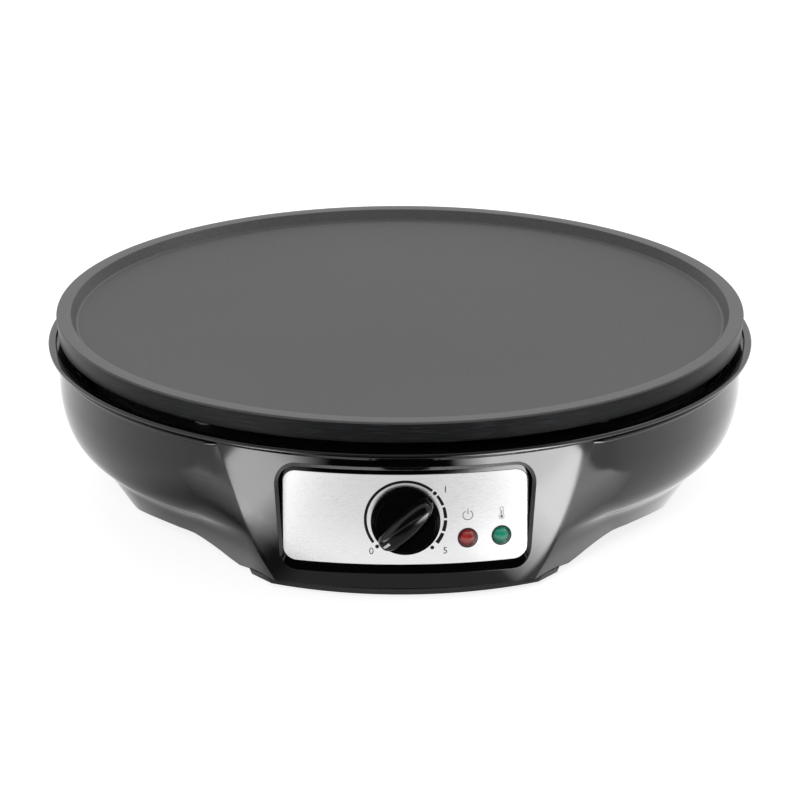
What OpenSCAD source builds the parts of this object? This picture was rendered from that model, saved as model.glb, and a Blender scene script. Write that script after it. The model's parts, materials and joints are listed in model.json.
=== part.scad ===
// Electric crepe maker: a round cast griddle plate on a low moulded housing with three legs and a front
// console. Millimetres, +Z up, origin on the table under the middle of the plate, console towards -Y.

/* [Griddle plate] */
// Outer radius of the griddle plate
plate_r = 154; // [145:1:165]
// Height of the plate's side, from its lower edge to the rim
plate_side_h = 9.5; // [8.5:0.5:12]
// How far the plate's side leans in towards its lower edge
side_draft = 1; // [0.2:0.2:2]
// Width of the level rim round the griddle
rim_land_w = 6.5; // [4:0.5:10]
// Depth of the griddle's floor below the rim
recess_depth = 4.6; // [4.2:0.2:6]
// Run of the slope between the rim and the floor
recess_run = 2.5; // [1:0.5:4]
// Thickness of the griddle's floor
floor_t = 4; // [3.5:0.5:6]
// Width of the thick ring under the rim
skirt_w = 5; // [4:0.5:8]
// Small chamfer at the top outer edge of the rim
rim_chamfer = 0.8; // [0.3:0.1:1.5]

/* [Housing] */
// Height of the housing from its lower edge to the top of its flange
body_h = 66.3; // [62:0.5:80]
// Open gap between the flange and the plate
plate_gap = 3.2; // [2:0.2:6]
// How far the flange stands out past the plate
flange_reach = 3.8; // [2:0.2:6]
// Width of the flange's top face
flange_w = 3.5; // [2.5:0.1:5]
// Thickness of the flange at its edge
flange_t = 1.8; // [1.5:0.1:3]
// How far the bead under the flange stands out of the wall
bead_reach = 1.7; // [1:0.1:2.5]
// How far the upper wall stands inside the plate's edge
wall_inset = 0.5; // [0:0.1:2]
// Wall thickness of the housing, measured outwards from the middle
wall = 3; // [2.5:0.1:3.5]
// Height of the belly, where the wall turns in, above the lower edge
belly_h = 22.2; // [20:0.5:26]
// How far the lower edge of the legs stands inside the upper wall
leg_inset = 27.1; // [24:0.5:30]

/* [Arches between the legs] */
// Radius of the arches
arch_r = 110; // [90:5:140]
// Rise of the arches above the lower edge of the housing
arch_rise = 7.7; // [5:0.5:9]
// Angle of the arches from the side legs
arch_az = 42; // [40:1:45]
// How far in under the housing the arches reach, from its lower edge
arch_run = 30; // [20:1:40]

/* [Console] */
// How far the foot of the console stands inside the plate's edge
console_inset = 6.8; // [4:0.2:9]
// Radius of the console's curved face
console_face_r = 165; // [155:5:200]
// Forward lean of the console's face, in degrees
console_lean = 4; // [2:0.5:6]
// Direction that the console's flanks face, in degrees from the front
flank_az = 51.2; // [50:0.2:53]
// Downward tilt of the flanks, in degrees
flank_tilt = 17.9; // [16:0.5:20]
// How far the flanks stand inside the plate's edge
flank_inset = 33.3; // [31:0.5:35]
// Height of the seam between housing and bottom cover, above the lower edge
seam_h = 2.5; // [2:0.1:3.5]
// How far back the seam runs from the foot of the console
seam_run = 24; // [18:1:50]
// Radius of the bottom cover's rounded front
cover_nose_r = 127; // [115:1:150]

/* [Control panel] */
// Width of the steel fascia
fascia_w = 102; // [96:1:106]
// Height of the steel fascia
fascia_h = 39.4; // [36:0.2:42]
// Corner radius of the fascia
fascia_corner_r = 5.5; // [3:0.5:9]
// Thickness of the fascia
fascia_t = 0.8; // [0.5:0.1:1.2]
// Radius to which the fascia is bent
fascia_bend_r = 160; // [150:5:190]
// Height of the fascia's middle above the lower edge of the housing
fascia_mid_h = 32.8; // [31:0.2:34]
// Depth of the fascia's middle behind the console's face
fascia_depth = 4.2; // [3.6:0.1:5]
// Backward lean of the fascia, in degrees
fascia_lean = 2; // [0:0.5:4]
// Width of the sloping sides beside the fascia
frame_w = 3; // [2.5:0.1:5]
// Height of the slope above the fascia, as a share of its depth
frame_slope_top = 0.8; // [0.6:0.05:1]
// Height of the slope below the fascia, as a share of its depth
frame_slope_low = 1.9; // [1:0.1:2.2]
// Thickness of the wall behind the fascia
panel_wall = 2.4; // [2:0.1:3.5]

/* [Knob and thermostat] */
// Diameter of the knob at its back
knob_d = 29; // [24:0.5:32]
// Diameter of the knob's front face
knob_face_d = 24.6; // [20:0.2:28]
// Depth of the knob's round part
knob_h = 5.6; // [5:0.2:11]
// Width of the knob's grip bar
grip_w = 10.4; // [8:0.2:12]
// Width of the grip bar at its ends
grip_end_w = 6.2; // [4:0.2:8]
// How far the grip bar stands out of the round part
grip_h = 6.4; // [4:0.2:8]
// Gap between the knob and the fascia
knob_gap = 0.5; // [0.3:0.1:1]
// Angle of the 0 mark from straight up, clockwise as seen from the front
knob_zero = -135; // [-150:5:-120]
// Diameter of the turning shaft
shaft_d = 6; // [5:0.5:6.5]
// Clearance between the shaft and its bearing, on each side
shaft_play = 0.05; // [0.02:0.01:0.08]
// Outer diameter of the bearing bush
bush_d = 10; // [9.5:0.5:11]
// Thickness of the bush's nut
nut_t = 2.4; // [2:0.2:3]
// Width across the nut's corners
nut_d = 14; // [13:0.5:15]
// Width, depth and height of the thermostat's body
thermostat_size = [30, 16, 26]; // [10:1:40]
// Thickness of the thermostat's front bracket
bracket_t = 1.2; // [1:0.1:2]

/* [Lamps] */
// Sideways places of the red and the green lamp
lamp_x = [26, 40.2]; // [20:0.1:46]
// Height of the lamps below the fascia's middle
lamp_drop = 8.8; // [4:0.2:12]
// Diameter of the lamp lenses
lens_d = 7.8; // [6:0.2:9]
// How far the domed lenses stand out of the fascia
lens_dome_h = 2.4; // [1.5:0.1:3.5]
// Length of the lens's body behind the fascia
lens_body = 9; // [7:0.5:12]
// Diameter of the neon tubes
neon_d = 4.4; // [3.6:0.1:5]
// Clearance round the lenses, on each side
lens_fit = 0.15; // [0.1:0.05:0.3]

/* [Heating] */
// Radius of the heating element's ring
element_ring_r = 92; // [84:1:98]
// Diameter of the element's tube
element_d = 6.5; // [5.5:0.5:8]
// Half angle of the gap between the element's ends
element_gap = 14; // [11:1:18]
// Bend radius at the element's ends
element_bend_r = 8; // [7:0.5:10]
// Diameter of the element's cold pins
pin_d = 3; // [2.5:0.5:4]
// Length of the cold pins
pin_l = 22; // [18:1:26]
// Distance of the heat shield below the plate's underside
shield_drop = 15.6; // [14.5:0.2:20]
// Thickness of the heat shield
shield_t = 0.8; // [0.6:0.1:1.5]
// How far the heat shield's rim stands inside the housing's upper wall
shield_inset = 13; // [10:1:20]
// Height of the heat shield's rim
shield_rim_h = 5; // [4:1:10]

/* [Fasteners and feet] */
// How far the plate's posts stand inside the plate's edge
post_inset = 36; // [33:1:40]
// Outer diameter of the posts
post_d = 15; // [13:0.5:17]
// Diameter of the plate's screws
plate_screw_d = 4; // [3.5:0.5:5]
// Length of the plate's bosses
boss_h = 7.6; // [5:0.2:9]
// Diameter of the cover's screws
cover_screw_d = 3; // [2.6:0.2:3.6]
// Radial clearance round each screw
screw_play = 0.15; // [0.1:0.05:0.3]
// Height of the rubber feet below the housing
foot_h = 3; // [2:0.5:6]
// Diameter of the rubber feet
foot_d = 16; // [12:1:20]
// How deep the feet sit in the bottom cover
foot_seat = 1; // [0.6:0.2:1.4]
// Thickness of the bottom cover
cover_t = 2.5; // [2.2:0.1:3.2]
// Clearance between the cover and the wall round it
cover_fit = 0.3; // [0.2:0.05:0.4]
// Distance of the console's feet from its middle line, in degrees
console_foot_az = 12; // [9:1:14]
// Distance of the console's screws from its middle line, in degrees
console_screw_az = 22; // [20:1:24]

/* [Mains inlet and wiring] */
// Height of the cord gland above the lower edge of the housing
gland_h = 33; // [30:1:38]
// Diameter of the gland's bore, for a round mains cord
gland_bore_d = 7.2; // [6:0.2:8]
// Outer diameter of the gland's body
gland_d = 11; // [10.5:0.5:13]
// Diameter of the gland's outer collar
gland_collar_d = 16; // [15:0.5:20]
// Thickness of the gland's collar
gland_collar_t = 5; // [3:0.5:7]
// Width, depth and height of the terminal block
block_size = [34, 18, 15]; // [8:1:40]
// Distance of the terminal block's middle in front of the gland's inner end
block_inset = 50; // [40:1:60]
// Diameter of the insulated leads
lead_d = 2.6; // [2:0.2:3]
// Diameter of the thermostat's capillary tube
capillary_d = 1.6; // [1.2:0.2:2.2]
// Diameter of the thermostat's sensor bulb
bulb_d = 5; // [4:0.5:6]
// Length of the sensor bulb
bulb_l = 56; // [40:2:70]

/* [Hidden] */
$fn = 64;

// Small gap that keeps seated pieces from touching
seat = 0.1;
// Overshoot that lets a cut pass through a face
eps = 1;
// Larger than the whole object, for half spaces
big = 400;

// Heights above the table
base_z = foot_h;
flange_z = base_z + body_h;
flange_under_z = flange_z - flange_t;
ledge_z = flange_under_z - flange_t;
skirt_z = flange_z + plate_gap;
rim_z = skirt_z + plate_side_h;
floor_z = rim_z - recess_depth;
under_z = floor_z - floor_t;
shield_z = under_z - shield_drop;
post_z = shield_z - shield_t;
boss_z = under_z - boss_h;
seam_z = base_z + seam_h;
cover_top_z = base_z + cover_t;
belly_z = base_z + belly_h;

// Radii
flange_r = plate_r + flange_reach;
wall_r = plate_r - wall_inset;
leg_r = wall_r - leg_inset;
post_r = plate_r - post_inset;
shield_r = wall_r - shield_inset;
opening_r = wall_r - wall - 2;

// The wall under the flange: straight, then a belly that turns in, then a straight leg
belly_top = [wall_r - 0.3, belly_z + 25];
belly_turn = [wall_r - 10.5, belly_z];
leg_top = [wall_r - 17.6, belly_z - 7.8];

function bezier(a, b, c, d, t) =
    pow(1 - t, 3) * a + 3 * t * pow(1 - t, 2) * b + 3 * t * t * (1 - t) * c + pow(t, 3) * d;

leg_slope = (leg_top[0] - leg_r) / (leg_top[1] - base_z);
wall_low_z = base_z - 5;
wall_curve = concat(
    [[leg_r - leg_slope * (base_z - wall_low_z), wall_low_z]],
    [for (i = [4:-1:1]) bezier(belly_turn, belly_turn - [3.4, 2.3], leg_top + [2, 3.2], leg_top, i / 4)],
    [for (i = [8:-1:1]) bezier(belly_top, belly_top - [0.9, 13], belly_turn + [6.3, 4.3], belly_turn, i / 8)],
    [belly_top, [wall_r, flange_z]]
);

// The console's face, and the middle of the fascia
console_y = -(plate_r - console_inset);
console_back_y = console_y + 62;
seam_back_y = console_y + seam_run;
fascia_y = console_y - fascia_mid_h * tan(console_lean) + fascia_depth;
fascia_z = base_z + fascia_mid_h;

// Depths along the knob's axis, measured out of or into the fascia's front
knob_front = knob_gap + knob_h;
knob_top = knob_front + grip_h;
knob_cavity_r = nut_d / 2 + 2;
knob_cavity_h = nut_t + 1.2;
bracket_y = fascia_t + panel_wall + 4;
thermostat_y = bracket_y + bracket_t;
bush_out = seat + nut_t + 0.3;
shaft_out = knob_top - 2.5;
shaft_in = thermostat_y + thermostat_size[1] / 2;
shaft_flat = shaft_d / 2 - 0.9;
blade_l = 7;
blade_x = 8;

// Arches and legs
arch_inner_r = leg_r - arch_run;
arch_axis_z = base_z + arch_rise - arch_r;
arch_places = [-arch_az, arch_az, 180 - arch_az, 180 + arch_az];

// Feet and screws, each as radius and angle round the housing
leg_foot_r = leg_r - 14.5;
console_foot_r = plate_r - 24;
foot_places = [
    [leg_foot_r, 8], [leg_foot_r, 172], [leg_foot_r, 90],
    [console_foot_r, -90 - console_foot_az], [console_foot_r, -90 + console_foot_az]
];
screw_places = [
    [leg_foot_r, -11], [leg_foot_r, 191], [leg_foot_r, 74],
    [console_foot_r - 4, -90 - console_screw_az], [console_foot_r - 4, -90 + console_screw_az]
];
post_places = [for (k = [0:3]) [post_r, 45 + 90 * k]];
post_roof = 3;
rib_t = 2.4;
head_seat_h = 3;
cup_h = head_seat_h + cover_t;
cup_d = cover_screw_d * 1.9 + 4;
cover_boss_d = cover_screw_d + 5;
cover_screw_l = 12;

// Straps that hold the element, the bulb and the fuse to the plate's underside
clip_t = 1;
clip_screw_d = 3;
clip_screw_in = 2.6;
clip_screw_x = 5.5;
clip_tab_x = clip_screw_x + 4.5;
strap_w = 9;
fuse_strap_w = 7;

// Under the plate
element_z = under_z - seat - element_d / 2;
element_sheath_l = 7;
bulb_place = [26, -40, under_z - seat - bulb_d / 2];
capillary_hole = [bulb_place[0], bulb_place[1] - bulb_l / 2 - 12];
fuse_d = 4.2;
fuse_l = 14;
fuse_place = [-40, 20, under_z - seat - fuse_d / 2];
earth_place = [62, 66];
earth_tag_d = plate_screw_d + 4.4;
earth_tag_t = 3;
earth_screw_l = 8;
earth_head_h = 2.6;

// Mains inlet
gland_z = base_z + gland_h;
gland_face_y = wall_r - 1;
gland_boss_l = 12;
gland_boss_d = gland_collar_d + 4;
gland_nut_t = 4;
gland_in_y = gland_face_y - gland_boss_l - gland_nut_t - 2.4;
pole_x = [-10, 0, 10];
block_y = gland_in_y - block_inset;
block_front_y = block_y - block_size[1] / 2;
pole_z = cover_top_z + block_size[2] / 2;

module at_polar(place, z = 0) {
    rotate([0, 0, place[1]]) translate([place[0], 0, z]) children();
}

// A frame on the fascia's middle: x right, y inwards, z up along the fascia
module fascia_frame() {
    translate([0, fascia_y, fascia_z]) rotate([-fascia_lean, 0, 0]) children();
}

// The knob's frame: x right, y up the fascia, z out of it
module knob_frame() {
    fascia_frame() rotate([90, 0, 0]) children();
}

// A frame on the bent fascia at sideways place x, with z pointing out of its surface
module lamp_frame(x) {
    fascia_frame() translate([0, fascia_bend_r, -lamp_drop]) rotate([0, 0, asin(x / fascia_bend_r)])
        translate([0, -fascia_bend_r, 0]) rotate([90, 0, 0]) children();
}

module rounded_rect(w, h, r) {
    union() {
        square([w - 2 * r, h], center = true);
        square([w, h - 2 * r], center = true);
        for (sx = [-1, 1], sy = [-1, 1])
            translate([sx * (w / 2 - r), sy * (h / 2 - r)]) circle(r);
    }
}

module slab(low, high) {
    translate([-big / 2, -big / 2, low]) cube([big, big, high - low]);
}

module ring(outer_d, inner_d, h) {
    difference() {
        cylinder(d = outer_d, h = h);
        translate([0, 0, -eps]) cylinder(d = inner_d, h = h + 2 * eps);
    }
}

// A slotted pan-head screw: its head below z = 0, its shank above
module screw(d, l, head_h) {
    head_d = d * 1.9;
    difference() {
        union() {
            cylinder(d = d, h = l);
            translate([0, 0, -head_h]) cylinder(d = head_d, h = head_h);
        }
        for (a = [0, 90])
            rotate([0, 0, a]) translate([-head_d / 3, -d / 8, -head_h - eps]) cube([head_d / 1.5, d / 4, eps + 0.8]);
    }
}

// A round tube swept through a list of points, as one closed faceted solid
function unit(v) = v / norm(v);
function tangent(path, i) = unit(path[min(i + 1, len(path) - 1)] - path[max(i - 1, 0)]);
function first_side(t) = unit(cross(t, abs(t[2]) < 0.9 ? [0, 0, 1] : [1, 0, 0]));
function carried(path, i) = i == 0
    ? first_side(tangent(path, 0))
    : let (s = carried(path, i - 1), t = tangent(path, i)) unit(s - (s * t) * t);
function spline(a, b, c, d, t) =
    0.5 * (2 * b + (c - a) * t + (2 * a - 5 * b + 4 * c - d) * t * t + (3 * b - a - 3 * c + d) * pow(t, 3));
function smooth_path(p, steps) = [
    for (i = [0:len(p) - 2], k = [0:steps - 1])
        spline(p[max(i - 1, 0)], p[i], p[i + 1], p[min(i + 2, len(p) - 1)], k / steps),
    p[len(p) - 1]
];

module tube(points, d, steps = 4, sides = 8) {
    path = smooth_path(points, steps);
    last = (len(path) - 1) * sides;
    verts = [
        for (i = [0:len(path) - 1])
            let (t = tangent(path, i), s = carried(path, i), u = cross(t, s))
            for (k = [0:sides - 1]) path[i] + d / 2 * (cos(360 * k / sides) * s + sin(360 * k / sides) * u)
    ];
    quads = [
        for (i = [0:len(path) - 2], k = [0:sides - 1])
            [i * sides + k, i * sides + (k + 1) % sides, (i + 1) * sides + (k + 1) % sides, (i + 1) * sides + k]
    ];
    walls = [for (q = quads) each [[q[0], q[1], q[2]], [q[0], q[2], q[3]]]];
    start = [for (k = [1:sides - 2]) [0, k + 1, k]];
    finish = [for (k = [1:sides - 2]) [last, last + k, last + k + 1]];
    polyhedron(verts, [for (f = concat(walls, start, finish)) [f[0], f[2], f[1]]]);
}

// ---- Outer shape of the housing --------------------------------------------------------------------

// The revolved bowl, solid, with its surface moved in by inset
module bowl_solid(inset) {
    rotate_extrude($fn = 180)
        polygon(concat(
            [[0, wall_low_z]], [for (p = wall_curve) [p[0] - inset, p[1]]], [[0, flange_z]]
        ));
}

module half_space(az, tilt, distance) {
    rotate([0, 0, az]) rotate([0, tilt, 0]) translate([distance - big, -big / 2, -big / 2]) cube(big);
}

// The region in front of back_y and between the console's two flanks, moved in by inset
module console_region(inset, back_y) {
    intersection() {
        translate([-big / 2, back_y - big / 2, -big / 4]) cube([big, big / 2, big / 2]);
        half_space(-90 + flank_az, flank_tilt, plate_r - flank_inset - inset);
        half_space(-90 - flank_az, flank_tilt, plate_r - flank_inset - inset);
    }
}

module console_solid(inset) {
    intersection() {
        translate([0, console_y + console_face_r, base_z]) rotate([console_lean, 0, 0])
            cylinder(r = console_face_r - inset, h = big / 2, center = true, $fn = 180);
        console_region(inset, console_back_y + 5);
    }
}

// The housing's outer shape between two heights, solid, with its surface moved in by inset
module envelope(inset, low, high) {
    intersection() {
        union() {
            difference() {
                bowl_solid(inset);
                console_region(inset, console_back_y);
            }
            console_solid(inset);
        }
        slab(low, high);
    }
}

// Flange with a bead under it, and a rim that stands round the plate
module flange_ring() {
    rotate_extrude($fn = 180)
        polygon([
            [opening_r, ledge_z], [wall_r + bead_reach, ledge_z],
            [wall_r + bead_reach, ledge_z + flange_t * 0.6], [flange_r, flange_under_z],
            [flange_r, flange_z], [flange_r - flange_w, flange_z], [flange_r - flange_w, flange_under_z],
            [opening_r, flange_under_z]
        ]);
}

module arch_cutters(grow, inner_r) {
    for (az = arch_places)
        at_polar([inner_r, az], arch_axis_z) rotate([0, 90, 0])
            cylinder(r = arch_r + grow, h = plate_r - inner_r + 20, $fn = 180);
}

// ---- Griddle and heating ---------------------------------------------------------------------------

// Where the straps sit: x across the tube, y along it, z up, on the plate's underside
module element_clip_frames() {
    for (az = [15, 165, 220, 320])
        at_polar([element_ring_r, az], under_z) children();
}

module bulb_clip_frame() {
    translate([bulb_place[0], bulb_place[1], under_z]) children();
}

module fuse_clip_frame() {
    translate([fuse_place[0], fuse_place[1], under_z]) children();
}

module strap_screw_holes(d) {
    translate([d / 2 + clip_screw_x, 0, -eps])
        cylinder(d = clip_screw_d + 2 * seat, h = clip_screw_in + seat + eps);
}

// A strap round a tube of diameter d, with a tab for one screw
module strap(d, w) {
    inner = d / 2 + seat;
    outer = inner + clip_t;
    difference() {
        translate([0, w / 2, 0]) rotate([90, 0, 0]) linear_extrude(w)
            difference() {
                union() {
                    translate([0, -seat - d / 2]) circle(outer);
                    translate([-outer, -seat - d / 2]) square([2 * outer, d / 2]);
                    translate([0, -seat - clip_t]) square([d / 2 + clip_tab_x, clip_t]);
                }
                translate([0, -seat - d / 2]) circle(inner);
                translate([-inner, -seat - d / 2]) square([2 * inner, d]);
            }
        translate([d / 2 + clip_screw_x, 0, -clip_t - eps])
            cylinder(d = clip_screw_d + 2 * screw_play, h = clip_t + 2 * eps);
    }
}

module griddle_plate() {
    skirt_r = plate_r - side_draft - skirt_w;
    slope_r = plate_r - rim_land_w - recess_run;
    color([0.36, 0.36, 0.37])
    difference() {
        union() {
            rotate_extrude($fn = 180)
                polygon([
                    [0, under_z], [skirt_r, under_z], [skirt_r, skirt_z], [plate_r - side_draft, skirt_z],
                    [plate_r, rim_z - rim_chamfer], [plate_r - rim_chamfer, rim_z],
                    [plate_r - rim_land_w, rim_z], [slope_r, floor_z], [0, floor_z]
                ]);
            for (p = post_places)
                at_polar(p, boss_z) cylinder(d = post_d - 3, h = boss_h + floor_t / 2);
        }
        for (p = post_places)
            at_polar(p, boss_z - eps) cylinder(d = plate_screw_d + 2 * seat, h = boss_h + eps);
        element_clip_frames() strap_screw_holes(element_d);
        bulb_clip_frame() strap_screw_holes(bulb_d);
        fuse_clip_frame() strap_screw_holes(fuse_d);
    }
}

// The element: a ring open at the back, with both ends bent down to their cold pins
module heating_element() {
    end_d = element_d - seat;
    overlap = 2;
    color([0.42, 0.4, 0.38])
    union() {
        translate([0, 0, element_z]) rotate([0, 0, 90 + element_gap])
            rotate_extrude(angle = 360 - 2 * element_gap) translate([element_ring_r, 0]) circle(d = element_d);
        for (s = [-1, 1])
            at_polar([element_ring_r, 90 + s * element_gap], element_z - element_bend_r) {
                rotate([0, 90, 0]) rotate([0, 0, s > 0 ? 180 - overlap : 90])
                    rotate_extrude(angle = 90 + overlap) translate([element_bend_r, 0]) circle(d = end_d);
                translate([0, -s * element_bend_r, -element_sheath_l])
                    cylinder(d = element_d, h = element_sheath_l);
                translate([0, -s * element_bend_r, -element_sheath_l - pin_l])
                    cylinder(d = pin_d, h = pin_l + eps);
            }
    }
}

module element_clips() {
    color([0.72, 0.73, 0.74]) element_clip_frames() strap(element_d, strap_w);
}

module bulb_clip() {
    color([0.72, 0.73, 0.74]) bulb_clip_frame() strap(bulb_d, strap_w);
}

module fuse_clip() {
    color([0.72, 0.73, 0.74]) fuse_clip_frame() strap(fuse_d, fuse_strap_w);
}

module clip_screw(d) {
    translate([d / 2 + clip_screw_x, 0, -clip_t - 2 * seat]) screw(clip_screw_d, clip_t + clip_screw_in, 2);
}

module clip_screws() {
    color([0.6, 0.6, 0.62]) {
        element_clip_frames() clip_screw(element_d);
        bulb_clip_frame() clip_screw(bulb_d);
        fuse_clip_frame() clip_screw(fuse_d);
    }
}

module sensor_bulb() {
    color([0.75, 0.45, 0.3])
    translate(bulb_place + [0, bulb_l / 2, 0]) rotate([90, 0, 0]) cylinder(d = bulb_d, h = bulb_l);
}

module capillary_tube() {
    start = bulb_place - [0, bulb_l / 2 + seat, 0];
    hole = [capillary_hole[0], capillary_hole[1]];
    finish = [10, fascia_y + thermostat_y + thermostat_size[1] + 3 * seat, fascia_z + 7];
    color([0.75, 0.45, 0.3])
    tube([
        start, start - [0, 6, 1], [hole[0], hole[1], shield_z + 5], [hole[0], hole[1], post_z - 8],
        [20, hole[1] - 5, fascia_z + 10], finish + [2, 14, 1], finish
    ], capillary_d, 4, 6);
}

module thermal_fuse() {
    color([0.85, 0.83, 0.78])
    translate(fuse_place + [0, fuse_l / 2, 0]) rotate([90, 0, 0]) {
        cylinder(d = fuse_d, h = fuse_l);
        translate([0, 0, -fuse_l / 2]) cylinder(d = 1.2, h = 2 * fuse_l);
    }
}

module heat_shield() {
    hole_h = shield_t + 2 * eps;
    screw_hole_d = plate_screw_d + 2 * screw_play;
    color([0.75, 0.76, 0.77])
    difference() {
        rotate_extrude($fn = 180)
            polygon([
                [0, post_z], [shield_r, post_z], [shield_r, post_z + shield_rim_h],
                [shield_r - shield_t, post_z + shield_rim_h], [shield_r - shield_t, shield_z], [0, shield_z]
            ]);
        for (p = post_places)
            at_polar(p, post_z - eps) cylinder(d = screw_hole_d, h = hole_h);
        for (s = [-1, 1])
            at_polar([element_ring_r, 90 + s * element_gap], post_z - eps)
                translate([0, -s * element_bend_r, 0]) cylinder(d = element_d + 2, h = hole_h);
        translate([capillary_hole[0], capillary_hole[1], post_z - eps])
            cylinder(d = capillary_d + 4, h = hole_h);
        translate([earth_place[0], earth_place[1], post_z - eps]) cylinder(d = screw_hole_d, h = hole_h);
    }
}

module insulating_washers() {
    color([0.9, 0.88, 0.82])
    for (p = post_places)
        at_polar(p, shield_z) ring(post_d - 3, plate_screw_d + 2 * screw_play, boss_z - shield_z);
}

module plate_screws() {
    color([0.6, 0.6, 0.62])
    for (p = post_places)
        at_polar(p, post_z - post_roof)
            screw(plate_screw_d, boss_z - post_z + post_roof + boss_h - eps, 2.6);
}

// ---- Housing ---------------------------------------------------------------------------------------

// A post with a rib that runs out to the wall
module tied_post(place, d, low, high) {
    at_polar(place) {
        translate([0, 0, low]) cylinder(d = d, h = high - low);
        translate([0, -rib_t / 2, low]) cube([big / 2, rib_t, high - low]);
    }
}

module inner_posts() {
    intersection() {
        union() {
            for (p = post_places)
                tied_post(p, post_d, belly_z, post_z);
            for (p = screw_places)
                tied_post(p, cover_boss_d, base_z + cup_h + seat, base_z + cup_h + cover_screw_l + 4);
        }
        envelope(wall / 2, base_z, flange_under_z);
    }
}

module post_bores() {
    for (p = post_places) {
        at_polar(p, belly_z - eps)
            cylinder(d = plate_screw_d * 1.9 + 2, h = post_z - post_roof - belly_z + eps);
        at_polar(p, belly_z) cylinder(d = plate_screw_d + 2 * screw_play, h = post_z);
    }
    for (p = screw_places)
        at_polar(p, base_z) cylinder(d = cover_screw_d + 2 * seat, h = head_seat_h + cover_screw_l + eps);
}

// The wall behind the fascia, with a flat seat for the thermostat
module panel_backing() {
    back_r = fascia_bend_r - fascia_t - panel_wall;
    seat_w = thermostat_size[0] + 4;
    seat_h = thermostat_size[2] + 4;
    intersection() {
        fascia_frame() union() {
            difference() {
                translate([-fascia_w / 2 - 2 * frame_w, -3 * fascia_depth, -fascia_h / 2 - 2 * frame_w])
                    cube([fascia_w + 4 * frame_w, 9 * fascia_depth, fascia_h + 4 * frame_w]);
                translate([0, fascia_bend_r, 0]) cylinder(r = back_r, h = big, center = true, $fn = 180);
            }
            translate([-seat_w / 2, 0, -seat_h / 2]) cube([seat_w, bracket_y, seat_h]);
        }
        console_solid(wall / 2);
        slab(base_z + wall, flange_under_z);
    }
}

// The opening in front of the fascia: sloping sides down to the fascia's own seat
module fascia_pocket() {
    reach = 6;
    depth = reach * fascia_depth;
    half_w = fascia_w / 2 + seat;
    half_h = fascia_h / 2 + seat;
    edge_y = half_w * half_w / 2 / fascia_bend_r;
    fascia_frame() {
        intersection() {
            translate([0, fascia_bend_r, 0])
                rotate_extrude($fn = 180)
                    polygon([
                        [fascia_bend_r, -half_h], [fascia_bend_r, half_h],
                        [fascia_bend_r + depth, half_h + depth * frame_slope_top],
                        [fascia_bend_r + depth, -half_h - depth * frame_slope_low]
                    ]);
            linear_extrude(big, center = true)
                polygon([
                    [-half_w, 2 * edge_y], [-half_w, edge_y], [-half_w - reach * frame_w, edge_y - depth],
                    [half_w + reach * frame_w, edge_y - depth], [half_w, edge_y], [half_w, 2 * edge_y]
                ]);
        }
        difference() {
            rotate([90, 0, 0]) linear_extrude(4 * depth, center = true)
                rounded_rect(2 * half_w, 2 * half_h, fascia_corner_r);
            translate([0, fascia_bend_r, 0])
                cylinder(r = fascia_bend_r - fascia_t, h = big, center = true, $fn = 180);
            translate([-big / 2, 2 * edge_y, -big / 2]) cube(big);
        }
    }
}

module panel_holes(reach) {
    knob_frame() translate([0, 0, -reach]) cylinder(d = bush_d + 2 * seat, h = reach + eps);
    for (x = lamp_x)
        lamp_frame(x) translate([0, 0, -reach]) cylinder(d = lens_d + 2 * lens_fit, h = reach + eps);
}

module gland_boss() {
    translate([0, gland_face_y, gland_z]) rotate([90, 0, 0]) cylinder(d = gland_boss_d, h = gland_boss_l);
}

module gland_hole() {
    translate([0, gland_face_y + eps, gland_z]) rotate([90, 0, 0])
        cylinder(d = gland_d + 2 * seat, h = gland_boss_l + 2 * eps);
}

module upper_housing() {
    color([0.09, 0.09, 0.1])
    difference() {
        union() {
            difference() {
                union() {
                    envelope(0, base_z, ledge_z + flange_t / 2);
                    flange_ring();
                }
                envelope(wall, base_z - eps, ledge_z);
                translate([0, 0, ledge_z - eps]) cylinder(r = opening_r, h = 3 * flange_t + eps, $fn = 180);
            }
            inner_posts();
            panel_backing();
            gland_boss();
        }
        fascia_pocket();
        panel_holes(bracket_y + eps);
        arch_cutters(0, arch_inner_r);
        post_bores();
        gland_hole();
        translate([-big / 2, seam_back_y - big, base_z - eps]) cube([big, big, seam_h + 2 * seat + eps]);
    }
}

module bottom_cover() {
    gap = wall + cover_fit;
    color([0.14, 0.14, 0.15])
    difference() {
        union() {
            envelope(gap, base_z, cover_top_z);
            intersection() {
                envelope(0, base_z, seam_z);
                translate([0, console_y + cover_nose_r, 0]) cylinder(r = cover_nose_r, h = big / 2, $fn = 180);
                translate([-big / 2, seam_back_y - cover_fit - big, 0]) cube([big, big, big / 2]);
            }
            intersection() {
                envelope(gap, base_z, base_z + arch_rise + 2 * cover_t);
                arch_cutters(cover_t, arch_inner_r - cover_t);
            }
            for (p = screw_places)
                at_polar(p, base_z) cylinder(d = cup_d, h = cup_h);
        }
        arch_cutters(0, arch_inner_r);
        for (p = screw_places) {
            at_polar(p, base_z - eps) cylinder(d = cover_screw_d * 1.9 + 2 * seat, h = head_seat_h + eps);
            at_polar(p, base_z) cylinder(d = cover_screw_d + 2 * screw_play, h = cup_h + eps);
        }
        for (p = foot_places)
            at_polar(p, base_z - eps) cylinder(d = foot_d + 2 * seat, h = foot_seat + eps);
        for (k = [-3:3])
            translate([8 * k - 1.5, -20, base_z - eps]) cube([3, 40, cover_t + 2 * eps]);
    }
}

module cover_screws() {
    color([0.6, 0.6, 0.62])
    for (p = screw_places)
        at_polar(p, base_z + head_seat_h - seat) screw(cover_screw_d, cover_screw_l, 2);
}

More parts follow.
